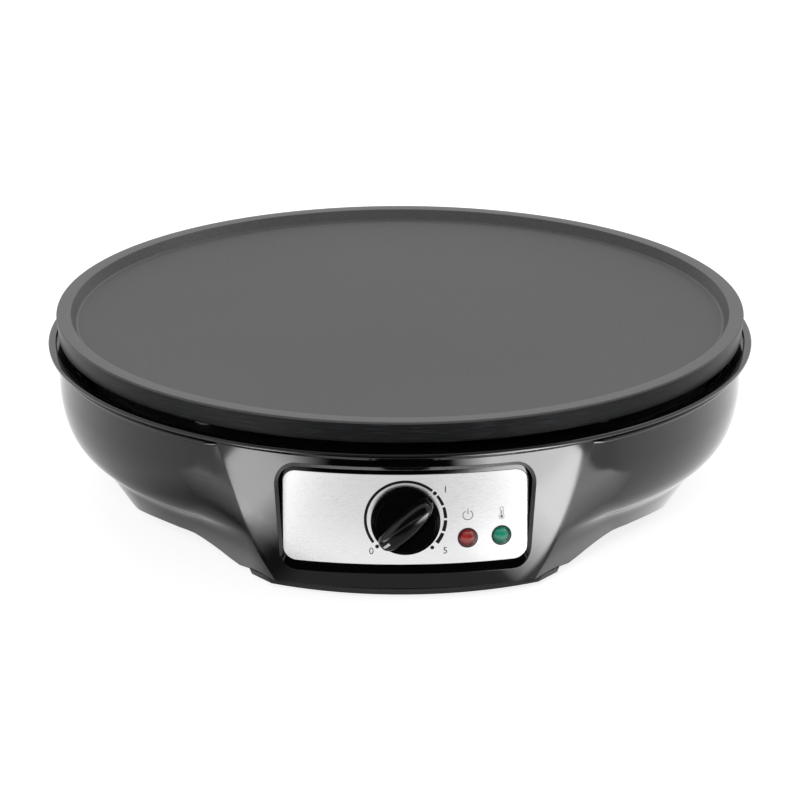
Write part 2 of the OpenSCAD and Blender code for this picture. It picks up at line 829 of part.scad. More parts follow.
module rubber_feet() {
    color([0.12, 0.12, 0.12])
    for (p = foot_places)
        at_polar(p) cylinder(d = foot_d, h = foot_h + foot_seat);
}

// ---- Control panel ---------------------------------------------------------------------------------

module control_fascia() {
    color([0.85, 0.86, 0.87])
    difference() {
        fascia_frame() intersection() {
            translate([0, fascia_bend_r, 0])
                difference() {
                    cylinder(r = fascia_bend_r, h = fascia_h + 2 * eps, center = true, $fn = 180);
                    cylinder(r = fascia_bend_r - fascia_t + seat / 2, h = big, center = true, $fn = 180);
                }
            translate([0, fascia_w / 4, 0]) rotate([90, 0, 0]) linear_extrude(fascia_w)
                rounded_rect(fascia_w, fascia_h, fascia_corner_r);
        }
        panel_holes(fascia_t + 2 * eps);
    }
}

// The D-shaped shaft end that drives the knob; grow widens it to the knob's socket
module shaft_end(low, high, grow) {
    intersection() {
        translate([0, 0, low]) cylinder(d = shaft_d + 2 * grow, h = high - low);
        translate([-shaft_d, -shaft_d, low]) cube([2 * shaft_d, shaft_d + shaft_flat + grow, high - low]);
    }
}

// Turned so that y is the direction of the pointer at the 0 mark
module pointer_frame() {
    knob_frame() rotate([0, 0, -knob_zero]) children();
}

module pointer_block(grow) {
    translate([-0.5 - grow, knob_face_d / 2 - 4.4 - grow, knob_top - 0.6 - grow])
        cube([1 + 2 * grow, 3.7 + 2 * grow, 0.7 + grow]);
}

module control_knob() {
    r_back = knob_d / 2;
    r_face = knob_face_d / 2;
    grip_bulge = (grip_w - grip_end_w) / 2;
    grip_side_r = (r_face * r_face + grip_bulge * grip_bulge) / 2 / grip_bulge;
    grip_side_x = grip_side_r - grip_w / 2;
    color([0.05, 0.05, 0.05])
    pointer_frame() difference() {
        union() {
            rotate_extrude($fn = 96)
                polygon([
                    [0, knob_gap], [r_back, knob_gap], [r_back, knob_gap + 1.5],
                    [r_face, knob_front - 0.6], [r_face - 0.6, knob_front], [0, knob_front]
                ]);
            intersection() {
                translate([grip_side_x, 0, knob_front - eps])
                    cylinder(r = grip_side_r, h = grip_h + eps, $fn = 180);
                translate([-grip_side_x, 0, knob_front - eps])
                    cylinder(r = grip_side_r, h = grip_h + eps, $fn = 180);
                rotate_extrude($fn = 96)
                    polygon([
                        [0, knob_front - eps], [r_face + 1.2, knob_front - eps], [r_face + 1.2, knob_front + 1],
                        [r_face - 0.2, knob_top], [0, knob_top]
                    ]);
            }
        }
        translate([0, 0, knob_gap - eps]) cylinder(r = knob_cavity_r, h = knob_cavity_h + eps);
        shaft_end(knob_gap, shaft_out + seat, seat);
        pointer_block(0);
    }
}

module knob_pointer() {
    color("white") pointer_frame() pointer_block(-0.02);
}

module thermostat_shaft() {
    color([0.7, 0.7, 0.72])
    pointer_frame() union() {
        translate([0, 0, -shaft_in]) cylinder(d = shaft_d, h = shaft_in + bush_out);
        shaft_end(bush_out - eps, shaft_out, 0);
    }
}

module thermostat_bush() {
    color([0.72, 0.68, 0.5])
    knob_frame() translate([0, 0, -thermostat_y])
        ring(bush_d, shaft_d + 2 * shaft_play, thermostat_y + bush_out);
}

module thermostat_nut() {
    color([0.7, 0.7, 0.72])
    knob_frame() translate([0, 0, seat]) difference() {
        cylinder(d = nut_d, h = nut_t, $fn = 6);
        translate([0, 0, -eps]) cylinder(d = bush_d + 2 * seat, h = nut_t + 2 * eps);
    }
}

module thermostat_bracket() {
    color([0.72, 0.73, 0.74])
    fascia_frame() difference() {
        translate([-thermostat_size[0] / 2 - 2, bracket_y, -thermostat_size[2] / 2 - 2])
            cube([thermostat_size[0] + 4, bracket_t, thermostat_size[2] + 4]);
        translate([0, thermostat_y + eps, 0]) rotate([90, 0, 0])
            cylinder(d = bush_d + 2 * seat, h = bracket_t + 2 * eps);
    }
}

module thermostat_body() {
    size = thermostat_size;
    color([0.88, 0.86, 0.8])
    fascia_frame() difference() {
        union() {
            translate([-size[0] / 2, thermostat_y, -size[2] / 2]) cube(size);
            for (s = [-1, 1])
                translate([s * blade_x - 3, thermostat_y + size[1] - eps, -0.4]) cube([6, blade_l + eps, 0.8]);
        }
        translate([0, shaft_in + seat, 0]) rotate([90, 0, 0])
            cylinder(d = shaft_d + 4 * shaft_play, h = size[1]);
    }
}

module lens(x, tint) {
    dome_r = (lens_d * lens_d / 4 + lens_dome_h * lens_dome_h) / 2 / lens_dome_h;
    color(tint)
    lamp_frame(x) difference() {
        union() {
            translate([0, 0, -lens_body]) cylinder(d = lens_d, h = lens_body + 0.3);
            intersection() {
                translate([0, 0, 0.3 + lens_dome_h - dome_r]) sphere(dome_r);
                cylinder(d = lens_d, h = 2 * lens_dome_h);
            }
        }
        translate([0, 0, -lens_body - eps]) cylinder(d = neon_d + 1, h = lens_body);
    }
}

module power_lamp_lens() {
    lens(lamp_x[0], [0.7, 0.1, 0.1]);
}

module ready_lamp_lens() {
    lens(lamp_x[1], [0.1, 0.55, 0.35]);
}

module lamp_retainers() {
    color([0.72, 0.73, 0.74])
    for (x = lamp_x)
        lamp_frame(x) translate([0, 0, -fascia_t - panel_wall - 3 * seat - 1])
            ring(lens_d + 3.2, lens_d + 2 * seat, 1);
}

// A neon tube inside a lens, with its two leads
module neon(x) {
    color([0.95, 0.8, 0.6])
    lamp_frame(x) {
        translate([0, 0, -lens_body - 4]) cylinder(d = neon_d, h = lens_body + 2.5);
        for (s = [-1, 1])
            translate([s * neon_d / 4, 0, -lens_body - 12]) cylinder(d = 0.8, h = 8.5);
    }
}

module power_neon() {
    neon(lamp_x[0]);
}

module ready_neon() {
    neon(lamp_x[1]);
}

// ---- Mains inlet and wiring ------------------------------------------------------------------------

module terminal_block() {
    color([0.9, 0.88, 0.82])
    difference() {
        translate([-block_size[0] / 2, block_front_y, cover_top_z]) cube(block_size);
        for (x = pole_x)
            translate([x, block_y, cover_top_z + block_size[2] - 4]) cylinder(d = 5, h = 4 + eps);
    }
}

module terminal_screws() {
    color([0.75, 0.7, 0.5])
    for (x = pole_x)
        translate([x, block_y, cover_top_z + block_size[2] - 4])
            difference() {
                cylinder(d = 5 - 2 * seat, h = 3);
                translate([-2, -0.4, 2.2]) cube([4, 0.8, eps]);
            }
}

module cord_gland() {
    color([0.1, 0.1, 0.1])
    translate([0, gland_in_y, gland_z]) rotate([-90, 0, 0]) difference() {
        union() {
            cylinder(d = gland_d, h = gland_face_y - gland_in_y + eps);
            translate([0, 0, gland_face_y - gland_in_y]) cylinder(d = gland_collar_d, h = gland_collar_t);
        }
        translate([0, 0, -eps]) cylinder(d = gland_bore_d, h = gland_face_y - gland_in_y + gland_collar_t + 2 * eps);
    }
}

module gland_nut() {
    color([0.15, 0.15, 0.15])
    translate([0, gland_face_y - gland_boss_l - seat, gland_z]) rotate([90, 0, 0]) difference() {
        cylinder(d = gland_d + 8, h = gland_nut_t, $fn = 6);
        translate([0, 0, -eps]) cylinder(d = gland_d + 2 * seat, h = gland_nut_t + 2 * eps);
    }
}

// Where the leads end: on the block's front, at the thermostat's blades and at the element's pins
function pole_end(k) = [pole_x[k], block_front_y - seat, pole_z];
function blade_end(s) = [
    s * blade_x,
    fascia_y + (thermostat_y + thermostat_size[1] + blade_l) * cos(fascia_lean) + 2 * seat,
    fascia_z - (thermostat_y + thermostat_size[1] + blade_l) * sin(fascia_lean)
];
function pin_end(s) = [
    element_ring_r * cos(90 + s * element_gap) + s * element_bend_r * sin(90 + s * element_gap),
    element_ring_r * sin(90 + s * element_gap) - s * element_bend_r * cos(90 + s * element_gap)
        - pin_d / 2 - 2 * seat,
    element_z - element_bend_r - element_sheath_l - pin_l + 3
];

module live_lead() {
    p = pole_end(0);
    q = blade_end(-1);
    color([0.45, 0.25, 0.15])
    tube([p, p - [0, 14, 3], [-12, 20, 9], [-11, -40, 9], q + [-2, 26, -20], q + [0, 8, -1], q], lead_d);
}

module switched_lead() {
    p = blade_end(1);
    q = pin_end(1);
    color([0.15, 0.15, 0.15])
    tube([
        p, p + [0, 8, -1], p + [3, 26, -16], [18, -40, 16], [0, 20, 17], q - [6, 30, 12], q - [0, 12, 0], q
    ], lead_d);
}

module neutral_lead() {
    p = pole_end(2);
    q = pin_end(-1);
    color([0.2, 0.35, 0.65])
    tube([p, p - [0, 10, -1], p + [2, -14, 12], q - [0, 13, 0], q], lead_d);
}

module earth_lead() {
    p = pole_end(1);
    q = [earth_place[0] - earth_tag_d / 2 - 4 * seat, earth_place[1], post_z - earth_tag_t / 2 - 2 * seat];
    color([0.45, 0.6, 0.2])
    tube([p, p - [0, 16, -1], [26, 48, 24], q - [14, 8, 8], q - [6, 0, 0.6], q], lead_d);
}

// Earth screw with its ring tag, under the heat shield
module earth_screw() {
    color([0.75, 0.7, 0.5])
    translate([earth_place[0], earth_place[1], post_z - seat - earth_tag_t]) {
        ring(earth_tag_d, plate_screw_d, earth_tag_t);
        screw(plate_screw_d, earth_screw_l, earth_head_h);
    }
}

griddle_plate();
heating_element();
element_clips();
clip_screws();
heat_shield();
insulating_washers();
plate_screws();
upper_housing();
bottom_cover();
cover_screws();
rubber_feet();
control_fascia();
control_knob();
knob_pointer();
thermostat_shaft();
thermostat_bush();
thermostat_nut();
thermostat_bracket();
thermostat_body();
sensor_bulb();
bulb_clip();
capillary_tube();
power_lamp_lens();
ready_lamp_lens();
lamp_retainers();
power_neon();
ready_neon();
thermal_fuse();
fuse_clip();
terminal_block();
terminal_screws();
cord_gland();
gland_nut();
live_lead();
neutral_lead();
switched_lead();
earth_lead();
earth_screw();
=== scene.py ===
"""Electric crepe maker: a round griddle plate on a low glossy housing with a front console.

All sizes are in millimetres and become metres when a mesh is made. +Z is up, the console faces -Y, and
the origin is on the table under the middle of the plate.
"""
import json
import logging
import math
from collections.abc import Sequence
from dataclasses import dataclass
from enum import Enum

import bmesh
import bpy
from mathutils import Matrix, Vector

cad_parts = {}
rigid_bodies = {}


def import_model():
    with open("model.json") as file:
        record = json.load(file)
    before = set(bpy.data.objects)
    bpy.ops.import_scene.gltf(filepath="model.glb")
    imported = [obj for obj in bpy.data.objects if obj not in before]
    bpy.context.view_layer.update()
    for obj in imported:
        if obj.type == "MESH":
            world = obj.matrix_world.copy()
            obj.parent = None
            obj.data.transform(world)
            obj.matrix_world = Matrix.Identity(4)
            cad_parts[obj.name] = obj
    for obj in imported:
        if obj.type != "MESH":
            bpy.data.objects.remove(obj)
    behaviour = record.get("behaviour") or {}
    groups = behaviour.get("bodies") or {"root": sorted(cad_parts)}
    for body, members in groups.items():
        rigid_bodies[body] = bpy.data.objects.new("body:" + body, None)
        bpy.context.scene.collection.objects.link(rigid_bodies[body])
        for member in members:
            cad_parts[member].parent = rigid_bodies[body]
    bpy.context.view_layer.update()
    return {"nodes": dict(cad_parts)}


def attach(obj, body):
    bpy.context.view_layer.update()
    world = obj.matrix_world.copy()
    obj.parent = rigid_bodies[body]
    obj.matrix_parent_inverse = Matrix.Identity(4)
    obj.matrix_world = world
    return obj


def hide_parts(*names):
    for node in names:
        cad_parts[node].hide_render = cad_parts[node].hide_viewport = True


LOG = logging.getLogger("crepe_maker")
MM = 0.001
FILLET_STEPS = 5
MERGE_DISTANCE = 2e-6

Point = tuple[float, float, float]
Colour = tuple[float, float, float]
Span = tuple[float, float]
Flat = tuple[list[Point], list[tuple[int, ...]]]


# ---- Node helpers ------------------------------------------------------------------------------------


def put(tree: bpy.types.NodeTree, value: object, socket: bpy.types.NodeSocket) -> None:
    """Links a value to an input socket if it is a socket too, or else sets it there."""
    if isinstance(value, bpy.types.NodeSocket):
        tree.links.new(value, socket)
    else:
        socket.default_value = value


def add_node(tree: bpy.types.NodeTree, kind: str, inputs: dict[str | int, object] | None = None,
             **settings: object) -> bpy.types.Node:
    """Adds a node to a tree.

    Args:
        tree: The tree that gets the node.
        kind: The node's type name.
        inputs: Sockets to link to its inputs, or values to set there, by name or number.
        settings: Properties of the node to set.

    Returns:
        The new node.
    """
    node = tree.nodes.new(kind)
    for name, value in settings.items():
        setattr(node, name, value)
    for key, value in (inputs or {}).items():
        put(tree, value, node.inputs[key])
    return node


def calculate(tree: bpy.types.NodeTree, operation: str, *values: object) -> bpy.types.NodeSocket:
    """Adds a Math node.

    Args:
        tree: The tree that gets the node.
        operation: The node's operation.
        values: Sockets to link, or numbers to set, in order.

    Returns:
        The node's result.
    """
    return add_node(tree, "ShaderNodeMath", dict(enumerate(values)), operation=operation).outputs[0]


class TreeInput(Enum):
    """The named inputs of the geometry trees, with their socket types."""

    SEGMENTS = ("Segments", "NodeSocketInt")
    CLOSED = ("Closed profile", "NodeSocketInt")
    TUBE_RADIUS = ("Tube radius", "NodeSocketFloat")
    PART = ("Part", "NodeSocketObject")
    FINISH = ("Finish", "NodeSocketMaterial")


class GeometryTree:
    """A geometry tree with named inputs, whose result is realized and gets its material."""

    def __init__(self, name: str, inputs: Sequence[TreeInput]) -> None:
        """Starts a tree.

        Args:
            name: Name of the tree.
            inputs: Its inputs, besides the geometry.
        """
        self.tree = bpy.data.node_groups.new(name, "GeometryNodeTree")
        face = self.tree.interface
        face.new_socket("Geometry", in_out="INPUT", socket_type="NodeSocketGeometry")
        for item in (*inputs, TreeInput.FINISH):
            label, kind = item.value
            face.new_socket(label, in_out="INPUT", socket_type=kind)
        face.new_socket("Geometry", in_out="OUTPUT", socket_type="NodeSocketGeometry")
        self.source = add_node(self.tree, "NodeGroupInput")
        self.geometry = self.source.outputs["Geometry"]

    def value(self, item: TreeInput) -> bpy.types.NodeSocket:
        """Returns the socket of a named input, inside the tree."""
        return self.source.outputs[item.value[0]]

    def end(self, geometry: bpy.types.NodeSocket) -> None:
        """Ends the tree with Realize Instances and Set Material."""
        realize = add_node(self.tree, "GeometryNodeRealizeInstances", {"Geometry": geometry})
        paint = add_node(self.tree, "GeometryNodeSetMaterial", {
            "Geometry": realize.outputs["Geometry"], "Material": self.value(TreeInput.FINISH),
        })
        add_node(self.tree, "NodeGroupOutput", {"Geometry": paint.outputs["Geometry"]})

    def apply(self, obj: bpy.types.Object, values: dict[TreeInput, object]) -> None:
        """Runs the tree on an object and keeps the result as its plain mesh.

        Args:
            obj: The object whose mesh goes in.
            values: What each named input is set to.
        """
        modifier = obj.modifiers.new("shape", "NODES")
        modifier.node_group = self.tree
        sockets = {s.name: s.identifier for s in self.tree.interface.items_tree if s.in_out == "INPUT"}
        for item, value in values.items():
            modifier[sockets[item.value[0]]] = value
        bake(obj)


def evaluated_mesh(obj: bpy.types.Object) -> bpy.types.Mesh:
    """Returns a plain mesh of an object as its modifiers leave it."""
    graph = bpy.context.evaluated_depsgraph_get()
    return bpy.data.meshes.new_from_object(obj.evaluated_get(graph), depsgraph=graph)


def bake(obj: bpy.types.Object) -> None:
    """Replaces an object's mesh by its evaluated one and removes its modifiers."""
    mesh = evaluated_mesh(obj)
    obj.modifiers.clear()
    obj.data = mesh


def turning_tree() -> GeometryTree:
    """Makes the tree that fillets a profile and turns it round the Z axis.

    Returns:
        The tree. Each profile point has its fillet radius in the attribute "fillet".
    """
    made = GeometryTree("turned piece", [TreeInput.SEGMENTS, TreeInput.CLOSED])
    tree, segments = made.tree, made.value(TreeInput.SEGMENTS)
    curve = add_node(tree, "GeometryNodeMeshToCurve", {"Mesh": made.geometry})
    radius = add_node(tree, "GeometryNodeInputNamedAttribute", {"Name": "fillet"}, data_type="FLOAT")
    fillet = add_node(tree, "GeometryNodeFilletCurve", {
        "Curve": curve.outputs["Curve"], "Radius": radius.outputs["Attribute"], "Count": FILLET_STEPS,
        "Limit Radius": True,
    }, mode="POLY").outputs["Curve"]

    size = add_node(tree, "GeometryNodeAttributeDomainSize", {"Geometry": fillet}, component="CURVE")
    points = size.outputs["Point Count"]
    rows = calculate(tree, "ADD", points, made.value(TreeInput.CLOSED))
    grid = add_node(tree, "GeometryNodeMeshGrid", {
        "Vertices X": calculate(tree, "ADD", segments, 1), "Vertices Y": rows,
    })

    index = add_node(tree, "GeometryNodeInputIndex").outputs["Index"]
    row = calculate(tree, "MODULO", calculate(tree, "MODULO", index, rows), points)
    column = calculate(tree, "FLOOR", calculate(tree, "DIVIDE", calculate(tree, "ADD", index, 0.5), rows))
    turn = calculate(tree, "DIVIDE", calculate(tree, "MULTIPLY", column, math.tau), segments)
    place = add_node(tree, "GeometryNodeInputPosition").outputs["Position"]
    sample = add_node(tree, "GeometryNodeSampleIndex", {"Geometry": fillet, "Value": place, "Index": row},
                      data_type="FLOAT_VECTOR", domain="POINT")
    part = add_node(tree, "ShaderNodeSeparateXYZ", {0: sample.outputs["Value"]})
    away = part.outputs["X"]
    turned = add_node(tree, "ShaderNodeCombineXYZ", {
        "X": calculate(tree, "MULTIPLY", away, calculate(tree, "COSINE", turn)),
        "Y": calculate(tree, "MULTIPLY", away, calculate(tree, "SINE", turn)),
        "Z": part.outputs["Z"],
    })
    moved = add_node(tree, "GeometryNodeSetPosition", {
        "Geometry": grid.outputs["Mesh"], "Position": turned.outputs["Vector"],
    })
    merge = add_node(tree, "GeometryNodeMergeByDistance", {
        "Geometry": moved.outputs["Geometry"], "Distance": MERGE_DISTANCE,
    })
    made.end(merge.outputs["Geometry"])
    return made


def sweeping_tree() -> GeometryTree:
    """Makes the tree that sweeps a round tube along a path.

    Returns:
        The tree.
    """
    made = GeometryTree("swept bead", [TreeInput.SEGMENTS, TreeInput.TUBE_RADIUS])
    path = add_node(made.tree, "GeometryNodeMeshToCurve", {"Mesh": made.geometry})
    ring = add_node(made.tree, "GeometryNodeCurvePrimitiveCircle", {
        "Resolution": made.value(TreeInput.SEGMENTS), "Radius": made.value(TreeInput.TUBE_RADIUS),
    }, mode="RADIUS")
    swept = add_node(made.tree, "GeometryNodeCurveToMesh", {
        "Curve": path.outputs["Curve"], "Profile Curve": ring.outputs["Curve"], "Fill Caps": True,
    })
    made.end(swept.outputs["Mesh"])
    return made


def placing_tree() -> GeometryTree:
    """Makes the tree that puts a part at each point, turned so that its +X points away from the axis.

    Returns:
        The tree.
    """
    made = GeometryTree("placed parts", [TreeInput.PART])
    tree = made.tree
    part = add_node(tree, "GeometryNodeObjectInfo", {"Object": made.value(TreeInput.PART)},
                    transform_space="ORIGINAL")
    place = add_node(tree, "GeometryNodeInputPosition").outputs["Position"]
    where = add_node(tree, "ShaderNodeSeparateXYZ", {0: place})
    turn = add_node(tree, "ShaderNodeCombineXYZ", {
        "Z": calculate(tree, "ARCTAN2", where.outputs["Y"], where.outputs["X"]),
    })
    rotation = add_node(tree, "FunctionNodeEulerToRotation", {0: turn.outputs["Vector"]})
    placed = add_node(tree, "GeometryNodeInstanceOnPoints", {
        "Points": made.geometry, "Instance": part.outputs["Geometry"], "Rotation": rotation.outputs[0],
    })
    made.end(placed.outputs["Instances"])
    return made


# ---- Finishes ----------------------------------------------------------------------------------------


class MaterialSheet:
    """One material under construction: its Principled shader, object coordinates and small helpers."""

    def __init__(self, name: str, colour: Colour, roughness: float, metallic: float = 0.0) -> None:
        """Starts a material.

        Args:
            name: Name of the material.
            colour: Base colour, linear.
            roughness: Roughness of the surface.
            metallic: 1 for bare metal.
        """
        self.material = bpy.data.materials.new(name)
        self.material.use_nodes = True
        self.tree = self.material.node_tree
        self.shader = next(n for n in self.tree.nodes if n.type == "BSDF_PRINCIPLED")
        self.set("Base Color", (*colour, 1.0))
        self.set("Roughness", roughness)
        self.set("Metallic", metallic)
        self.object_place = add_node(self.tree, "ShaderNodeTexCoord").outputs["Object"]

    def set(self, socket: str, value: object) -> None:
        """Sets a socket of the shader, or links a value to it."""
        put(self.tree, value, self.shader.inputs[socket])

    def noise(self, scale: float, stretch: Point = (1, 1, 1), detail: float = 3.0,
              place: bpy.types.NodeSocket | None = None) -> bpy.types.NodeSocket:
        """Adds a noise pattern.

        Args:
            scale: Scale of the pattern, per metre.
            stretch: Scale of the pattern along each axis.
            detail: Detail of the pattern.
            place: Coordinates to use in place of the object's own.

        Returns:
            The pattern's value, about 0.5 on average.
        """
        mapping = add_node(self.tree, "ShaderNodeMapping", {
            "Vector": place or self.object_place, "Scale": stretch,
        })
        return add_node(self.tree, "ShaderNodeTexNoise", {
            "Vector": mapping.outputs["Vector"], "Scale": scale, "Detail": detail,
        }).outputs["Fac"]

    def spread(self, value: bpy.types.NodeSocket, low: float, high: float,
               span: Span = (0.3, 0.7)) -> bpy.types.NodeSocket:
        """Maps a pattern's usual span to a range.

        Args:
            value: The pattern.
            low: Result at the span's start.
            high: Result at the span's end.
            span: Values of the pattern that map to low and high.

        Returns:
            The mapped value.
        """
        return add_node(self.tree, "ShaderNodeMapRange", {
            "Value": value, "From Min": span[0], "From Max": span[1], "To Min": low, "To Max": high,
        }).outputs["Result"]

    def mix(self, factor: bpy.types.NodeSocket, first: Colour | bpy.types.NodeSocket,
            second: Colour | bpy.types.NodeSocket) -> bpy.types.NodeSocket:
        """Mixes two colours.

        Args:
            factor: 0 for the first colour, 1 for the second.
            first: First colour.
            second: Second colour.

        Returns:
            The mixed colour.
        """
        first, second = (c if isinstance(c, bpy.types.NodeSocket) else (*c, 1.0) for c in (first, second))
        node = add_node(self.tree, "ShaderNodeMix", {"Factor": factor, 6: first, 7: second}, data_type="RGBA")
        return node.outputs[2]

    def bump(self, height: bpy.types.NodeSocket, depth: float, strength: float = 1.0,
             edge: float = 0.0) -> None:
        """Adds a bump, on rounded edges where asked.

        Args:
            height: The height pattern.
            depth: Depth of the bump in millimetres.
            strength: Strength of the bump.
            edge: Radius in millimetres to which sharp edges look rounded.
        """
        inputs = {"Distance": depth * MM, "Strength": strength, "Height": height}
        if edge:
            rounded = add_node(self.tree, "ShaderNodeBevel", {"Radius": edge * MM}, samples=6)
            inputs["Normal"] = rounded.outputs["Normal"]
        self.set("Normal", add_node(self.tree, "ShaderNodeBump", inputs).outputs["Normal"])


@dataclass(frozen=True)
class GlossPlastic:
    """Moulded plastic with a high gloss and a faint ripple from the mould."""

    name: str
    colour: Colour = (0.002, 0.002, 0.0022)
    roughness: float = 0.08
    edge: float = 0.35
    ripple: float = 0.004
    index: float = 1.45

    def make(self) -> bpy.types.Material:
        """Builds the material."""
        sheet = MaterialSheet(self.name, self.colour, self.roughness)
        sheet.set("IOR", self.index)
        wear = sheet.noise(40.0, detail=5.0)
        sheet.set("Roughness", sheet.spread(wear, self.roughness * 0.8, self.roughness * 1.3))
        sheet.bump(sheet.noise(900.0, detail=2.0), self.ripple, 0.6, self.edge)
        return sheet.material


@dataclass(frozen=True)
class MattePlastic:
    """Moulded plastic with a fine spark-eroded grain."""

    name: str
    colour: Colour = (0.02, 0.02, 0.021)
    roughness: float = 0.5
    grain: float = 0.03

    def make(self) -> bpy.types.Material:
        """Builds the material."""
        sheet = MaterialSheet(self.name, self.colour, self.roughness)
        tone = sheet.spread(sheet.noise(250.0), 0.0, 1.0)
        light = tuple(c * 1.35 for c in self.colour)
        sheet.set("Base Color", sheet.mix(tone, self.colour, light))
        sheet.bump(sheet.noise(2600.0, detail=2.0), self.grain, 0.5, 0.3)
        return sheet.material


@dataclass(frozen=True)
class CoatedCasting:
    """Cast aluminium with a fine speckled non-stick coat, and a dark turned edge under the rim with painted
    highlights in streaks along it.
    """

    name: str
    coat: Colour = (0.072, 0.073, 0.073)
    speckle: Colour = (0.1, 0.101, 0.101)
    edge_dark: Colour = (0.0012, 0.0015, 0.002)
    painted_edge_highlight: Colour = (0.045, 0.05, 0.062)
    edge_radius: float = 152.2
    edge_top: float = 81.3
    land_radius: float = 144.6

    def make(self) -> bpy.types.Material:
        """Builds the material."""
        sheet = MaterialSheet(self.name, self.coat, 0.5)
        tree = sheet.tree
        place = add_node(tree, "ShaderNodeSeparateXYZ", {0: sheet.object_place})
        x, y, z = (place.outputs[axis] for axis in "XYZ")
        along = calculate(tree, "MULTIPLY", calculate(tree, "ARCTAN2", y, x), self.edge_radius * MM)
        squares = (calculate(tree, "POWER", x, 2.0), calculate(tree, "POWER", y, 2.0))
        radius = calculate(tree, "SQRT", calculate(tree, "ADD", *squares))
        side = add_node(tree, "ShaderNodeCombineXYZ", {"X": along, "Y": z}).outputs["Vector"]
        outside = sheet.spread(radius, 0.0, 1.0, (self.edge_radius * MM, (self.edge_radius + 0.3) * MM))
        below = sheet.spread(z, 1.0, 0.0, ((self.edge_top - 0.3) * MM, self.edge_top * MM))
        edge = calculate(tree, "MULTIPLY", outside, below)

        speckles = sheet.spread(sheet.noise(1500.0, detail=4.0), 0.0, 1.0, (0.42, 0.66))
        clouds = sheet.spread(sheet.noise(9.0, detail=2.0), 0.0, 0.35)
        coat = sheet.mix(clouds, sheet.mix(speckles, self.coat, self.speckle), self.speckle)
        # The side under the rim is near black. Its light bluish streaks along the brushing are painted
        # highlights; the same streaks also give the brushed relief.
        streaks = sheet.noise(1.0, (70.0, 3200.0, 1.0), 6.0, side)
        bright = sheet.spread(streaks, 0.0, 1.0, (0.54, 0.8))
        sheet.set("Base Color", sheet.mix(edge, coat, sheet.mix(bright, self.edge_dark, self.painted_edge_highlight)))
        rim = sheet.spread(radius, 0.55, 0.36, ((self.land_radius - 0.5) * MM, self.land_radius * MM))
        sheet.set("Roughness", rim)
        sheet.set("IOR", 1.34)
        sheet.set("Specular IOR Level", 0.3)
        fine = sheet.noise(2200.0)
        relief = add_node(tree, "ShaderNodeMix", {0: edge, 2: fine, 3: streaks}, data_type="FLOAT")
        sheet.bump(relief.outputs[0], 0.05, 0.35)
        return sheet.material


@dataclass(frozen=True)
class BrushedMetal:
    """Sheet metal with fine brushing along X."""

    name: str
    colour: Colour = (0.78, 0.78, 0.79)
    roughness: float = 0.3
    stretch: Point = (14.0, 1800.0, 5200.0)

    def make(self) -> bpy.types.Material:
        """Builds the material."""
        sheet = MaterialSheet(self.name, self.colour, self.roughness, 1.0)
        lines = sheet.noise(1.0, self.stretch, 5.0)
        dull = tuple(c * 0.9 for c in self.colour)
        sheet.set("Base Color", sheet.mix(sheet.spread(lines, 0.0, 1.0), dull, self.colour))
        sheet.set("Roughness", sheet.spread(lines, self.roughness * 0.8, self.roughness * 1.25))
        sheet.bump(lines, 0.004, 0.5)
        return sheet.material


@dataclass(frozen=True)
class PlainMetal:
    """Plated or bare metal with faint stains."""

    name: str
    colour: Colour
    roughness: float = 0.35

    def make(self) -> bpy.types.Material:
        """Builds the material."""
        sheet = MaterialSheet(self.name, self.colour, self.roughness, 1.0)
        stains = sheet.spread(sheet.noise(180.0, detail=4.0), 0.0, 1.0)
        dull = tuple(c * 0.75 for c in self.colour)
        sheet.set("Base Color", sheet.mix(stains, self.colour, dull))
        sheet.set("Roughness", sheet.spread(stains, self.roughness * 0.85, self.roughness * 1.3, (0.0, 1.0)))
        sheet.bump(sheet.noise(1400.0), 0.01, 0.3)
        return sheet.material


@dataclass(frozen=True)
class LampPlastic:
    """Clear tinted plastic of an indicator lamp, painted bright in its middle as painted light and darker
    towards its rim as painted shade.
    """

    name: str
    colour: Colour
    shaded_rim_colour: Colour
    middle: Point
    radius: float

    def make(self) -> bpy.types.Material:
        """Builds the material."""
        sheet = MaterialSheet(self.name, self.colour, 0.07)
        away = add_node(sheet.tree, "ShaderNodeVectorMath", {0: sheet.object_place, 1: self.middle},
                        operation="DISTANCE").outputs["Value"]
        # The base colour runs from the lit colour at the middle to the shaded rim colour at the rim: painted
        # light and painted shade.
        rim = sheet.spread(away, 0.0, 1.0, (0.25 * self.radius * MM, 1.05 * self.radius * MM))
        ripple = sheet.spread(sheet.noise(600.0, detail=1.0), -0.15, 0.15)
        sheet.set("Base Color", sheet.mix(calculate(sheet.tree, "ADD", rim, ripple), self.colour, self.shaded_rim_colour))
        sheet.set("IOR", 1.49)
        sheet.set("Transmission Weight", 0.1)
        sheet.set("Coat Weight", 0.5)
        sheet.set("Coat Roughness", 0.04)
        sheet.bump(sheet.noise(700.0, detail=1.0), 0.004, 0.3)
        return sheet.material


@dataclass(frozen=True)
class Glass:
    """Thin clear glass."""

    name: str

    def make(self) -> bpy.types.Material:
        """Builds the material."""
        sheet = MaterialSheet(self.name, (0.95, 0.93, 0.9), 0.05)
        sheet.set("Transmission Weight", 0.9)
        sheet.bump(sheet.noise(300.0), 0.003, 0.2)
        return sheet.material


@dataclass(frozen=True)
class Ink:
    """Printed ink, slightly uneven."""

    name: str
    colour: Colour

    def make(self) -> bpy.types.Material:
        """Builds the material."""
        sheet = MaterialSheet(self.name, self.colour, 0.45)
        sheet.set("Specular IOR Level", 0.15)
        tone = sheet.spread(sheet.noise(2000.0), 0.0, 1.0)
        light = tuple(c * 1.25 + 0.004 for c in self.colour)
        sheet.set("Base Color", sheet.mix(tone, self.colour, light))
        sheet.bump(sheet.noise(5000.0), 0.003, 0.3)
        return sheet.material


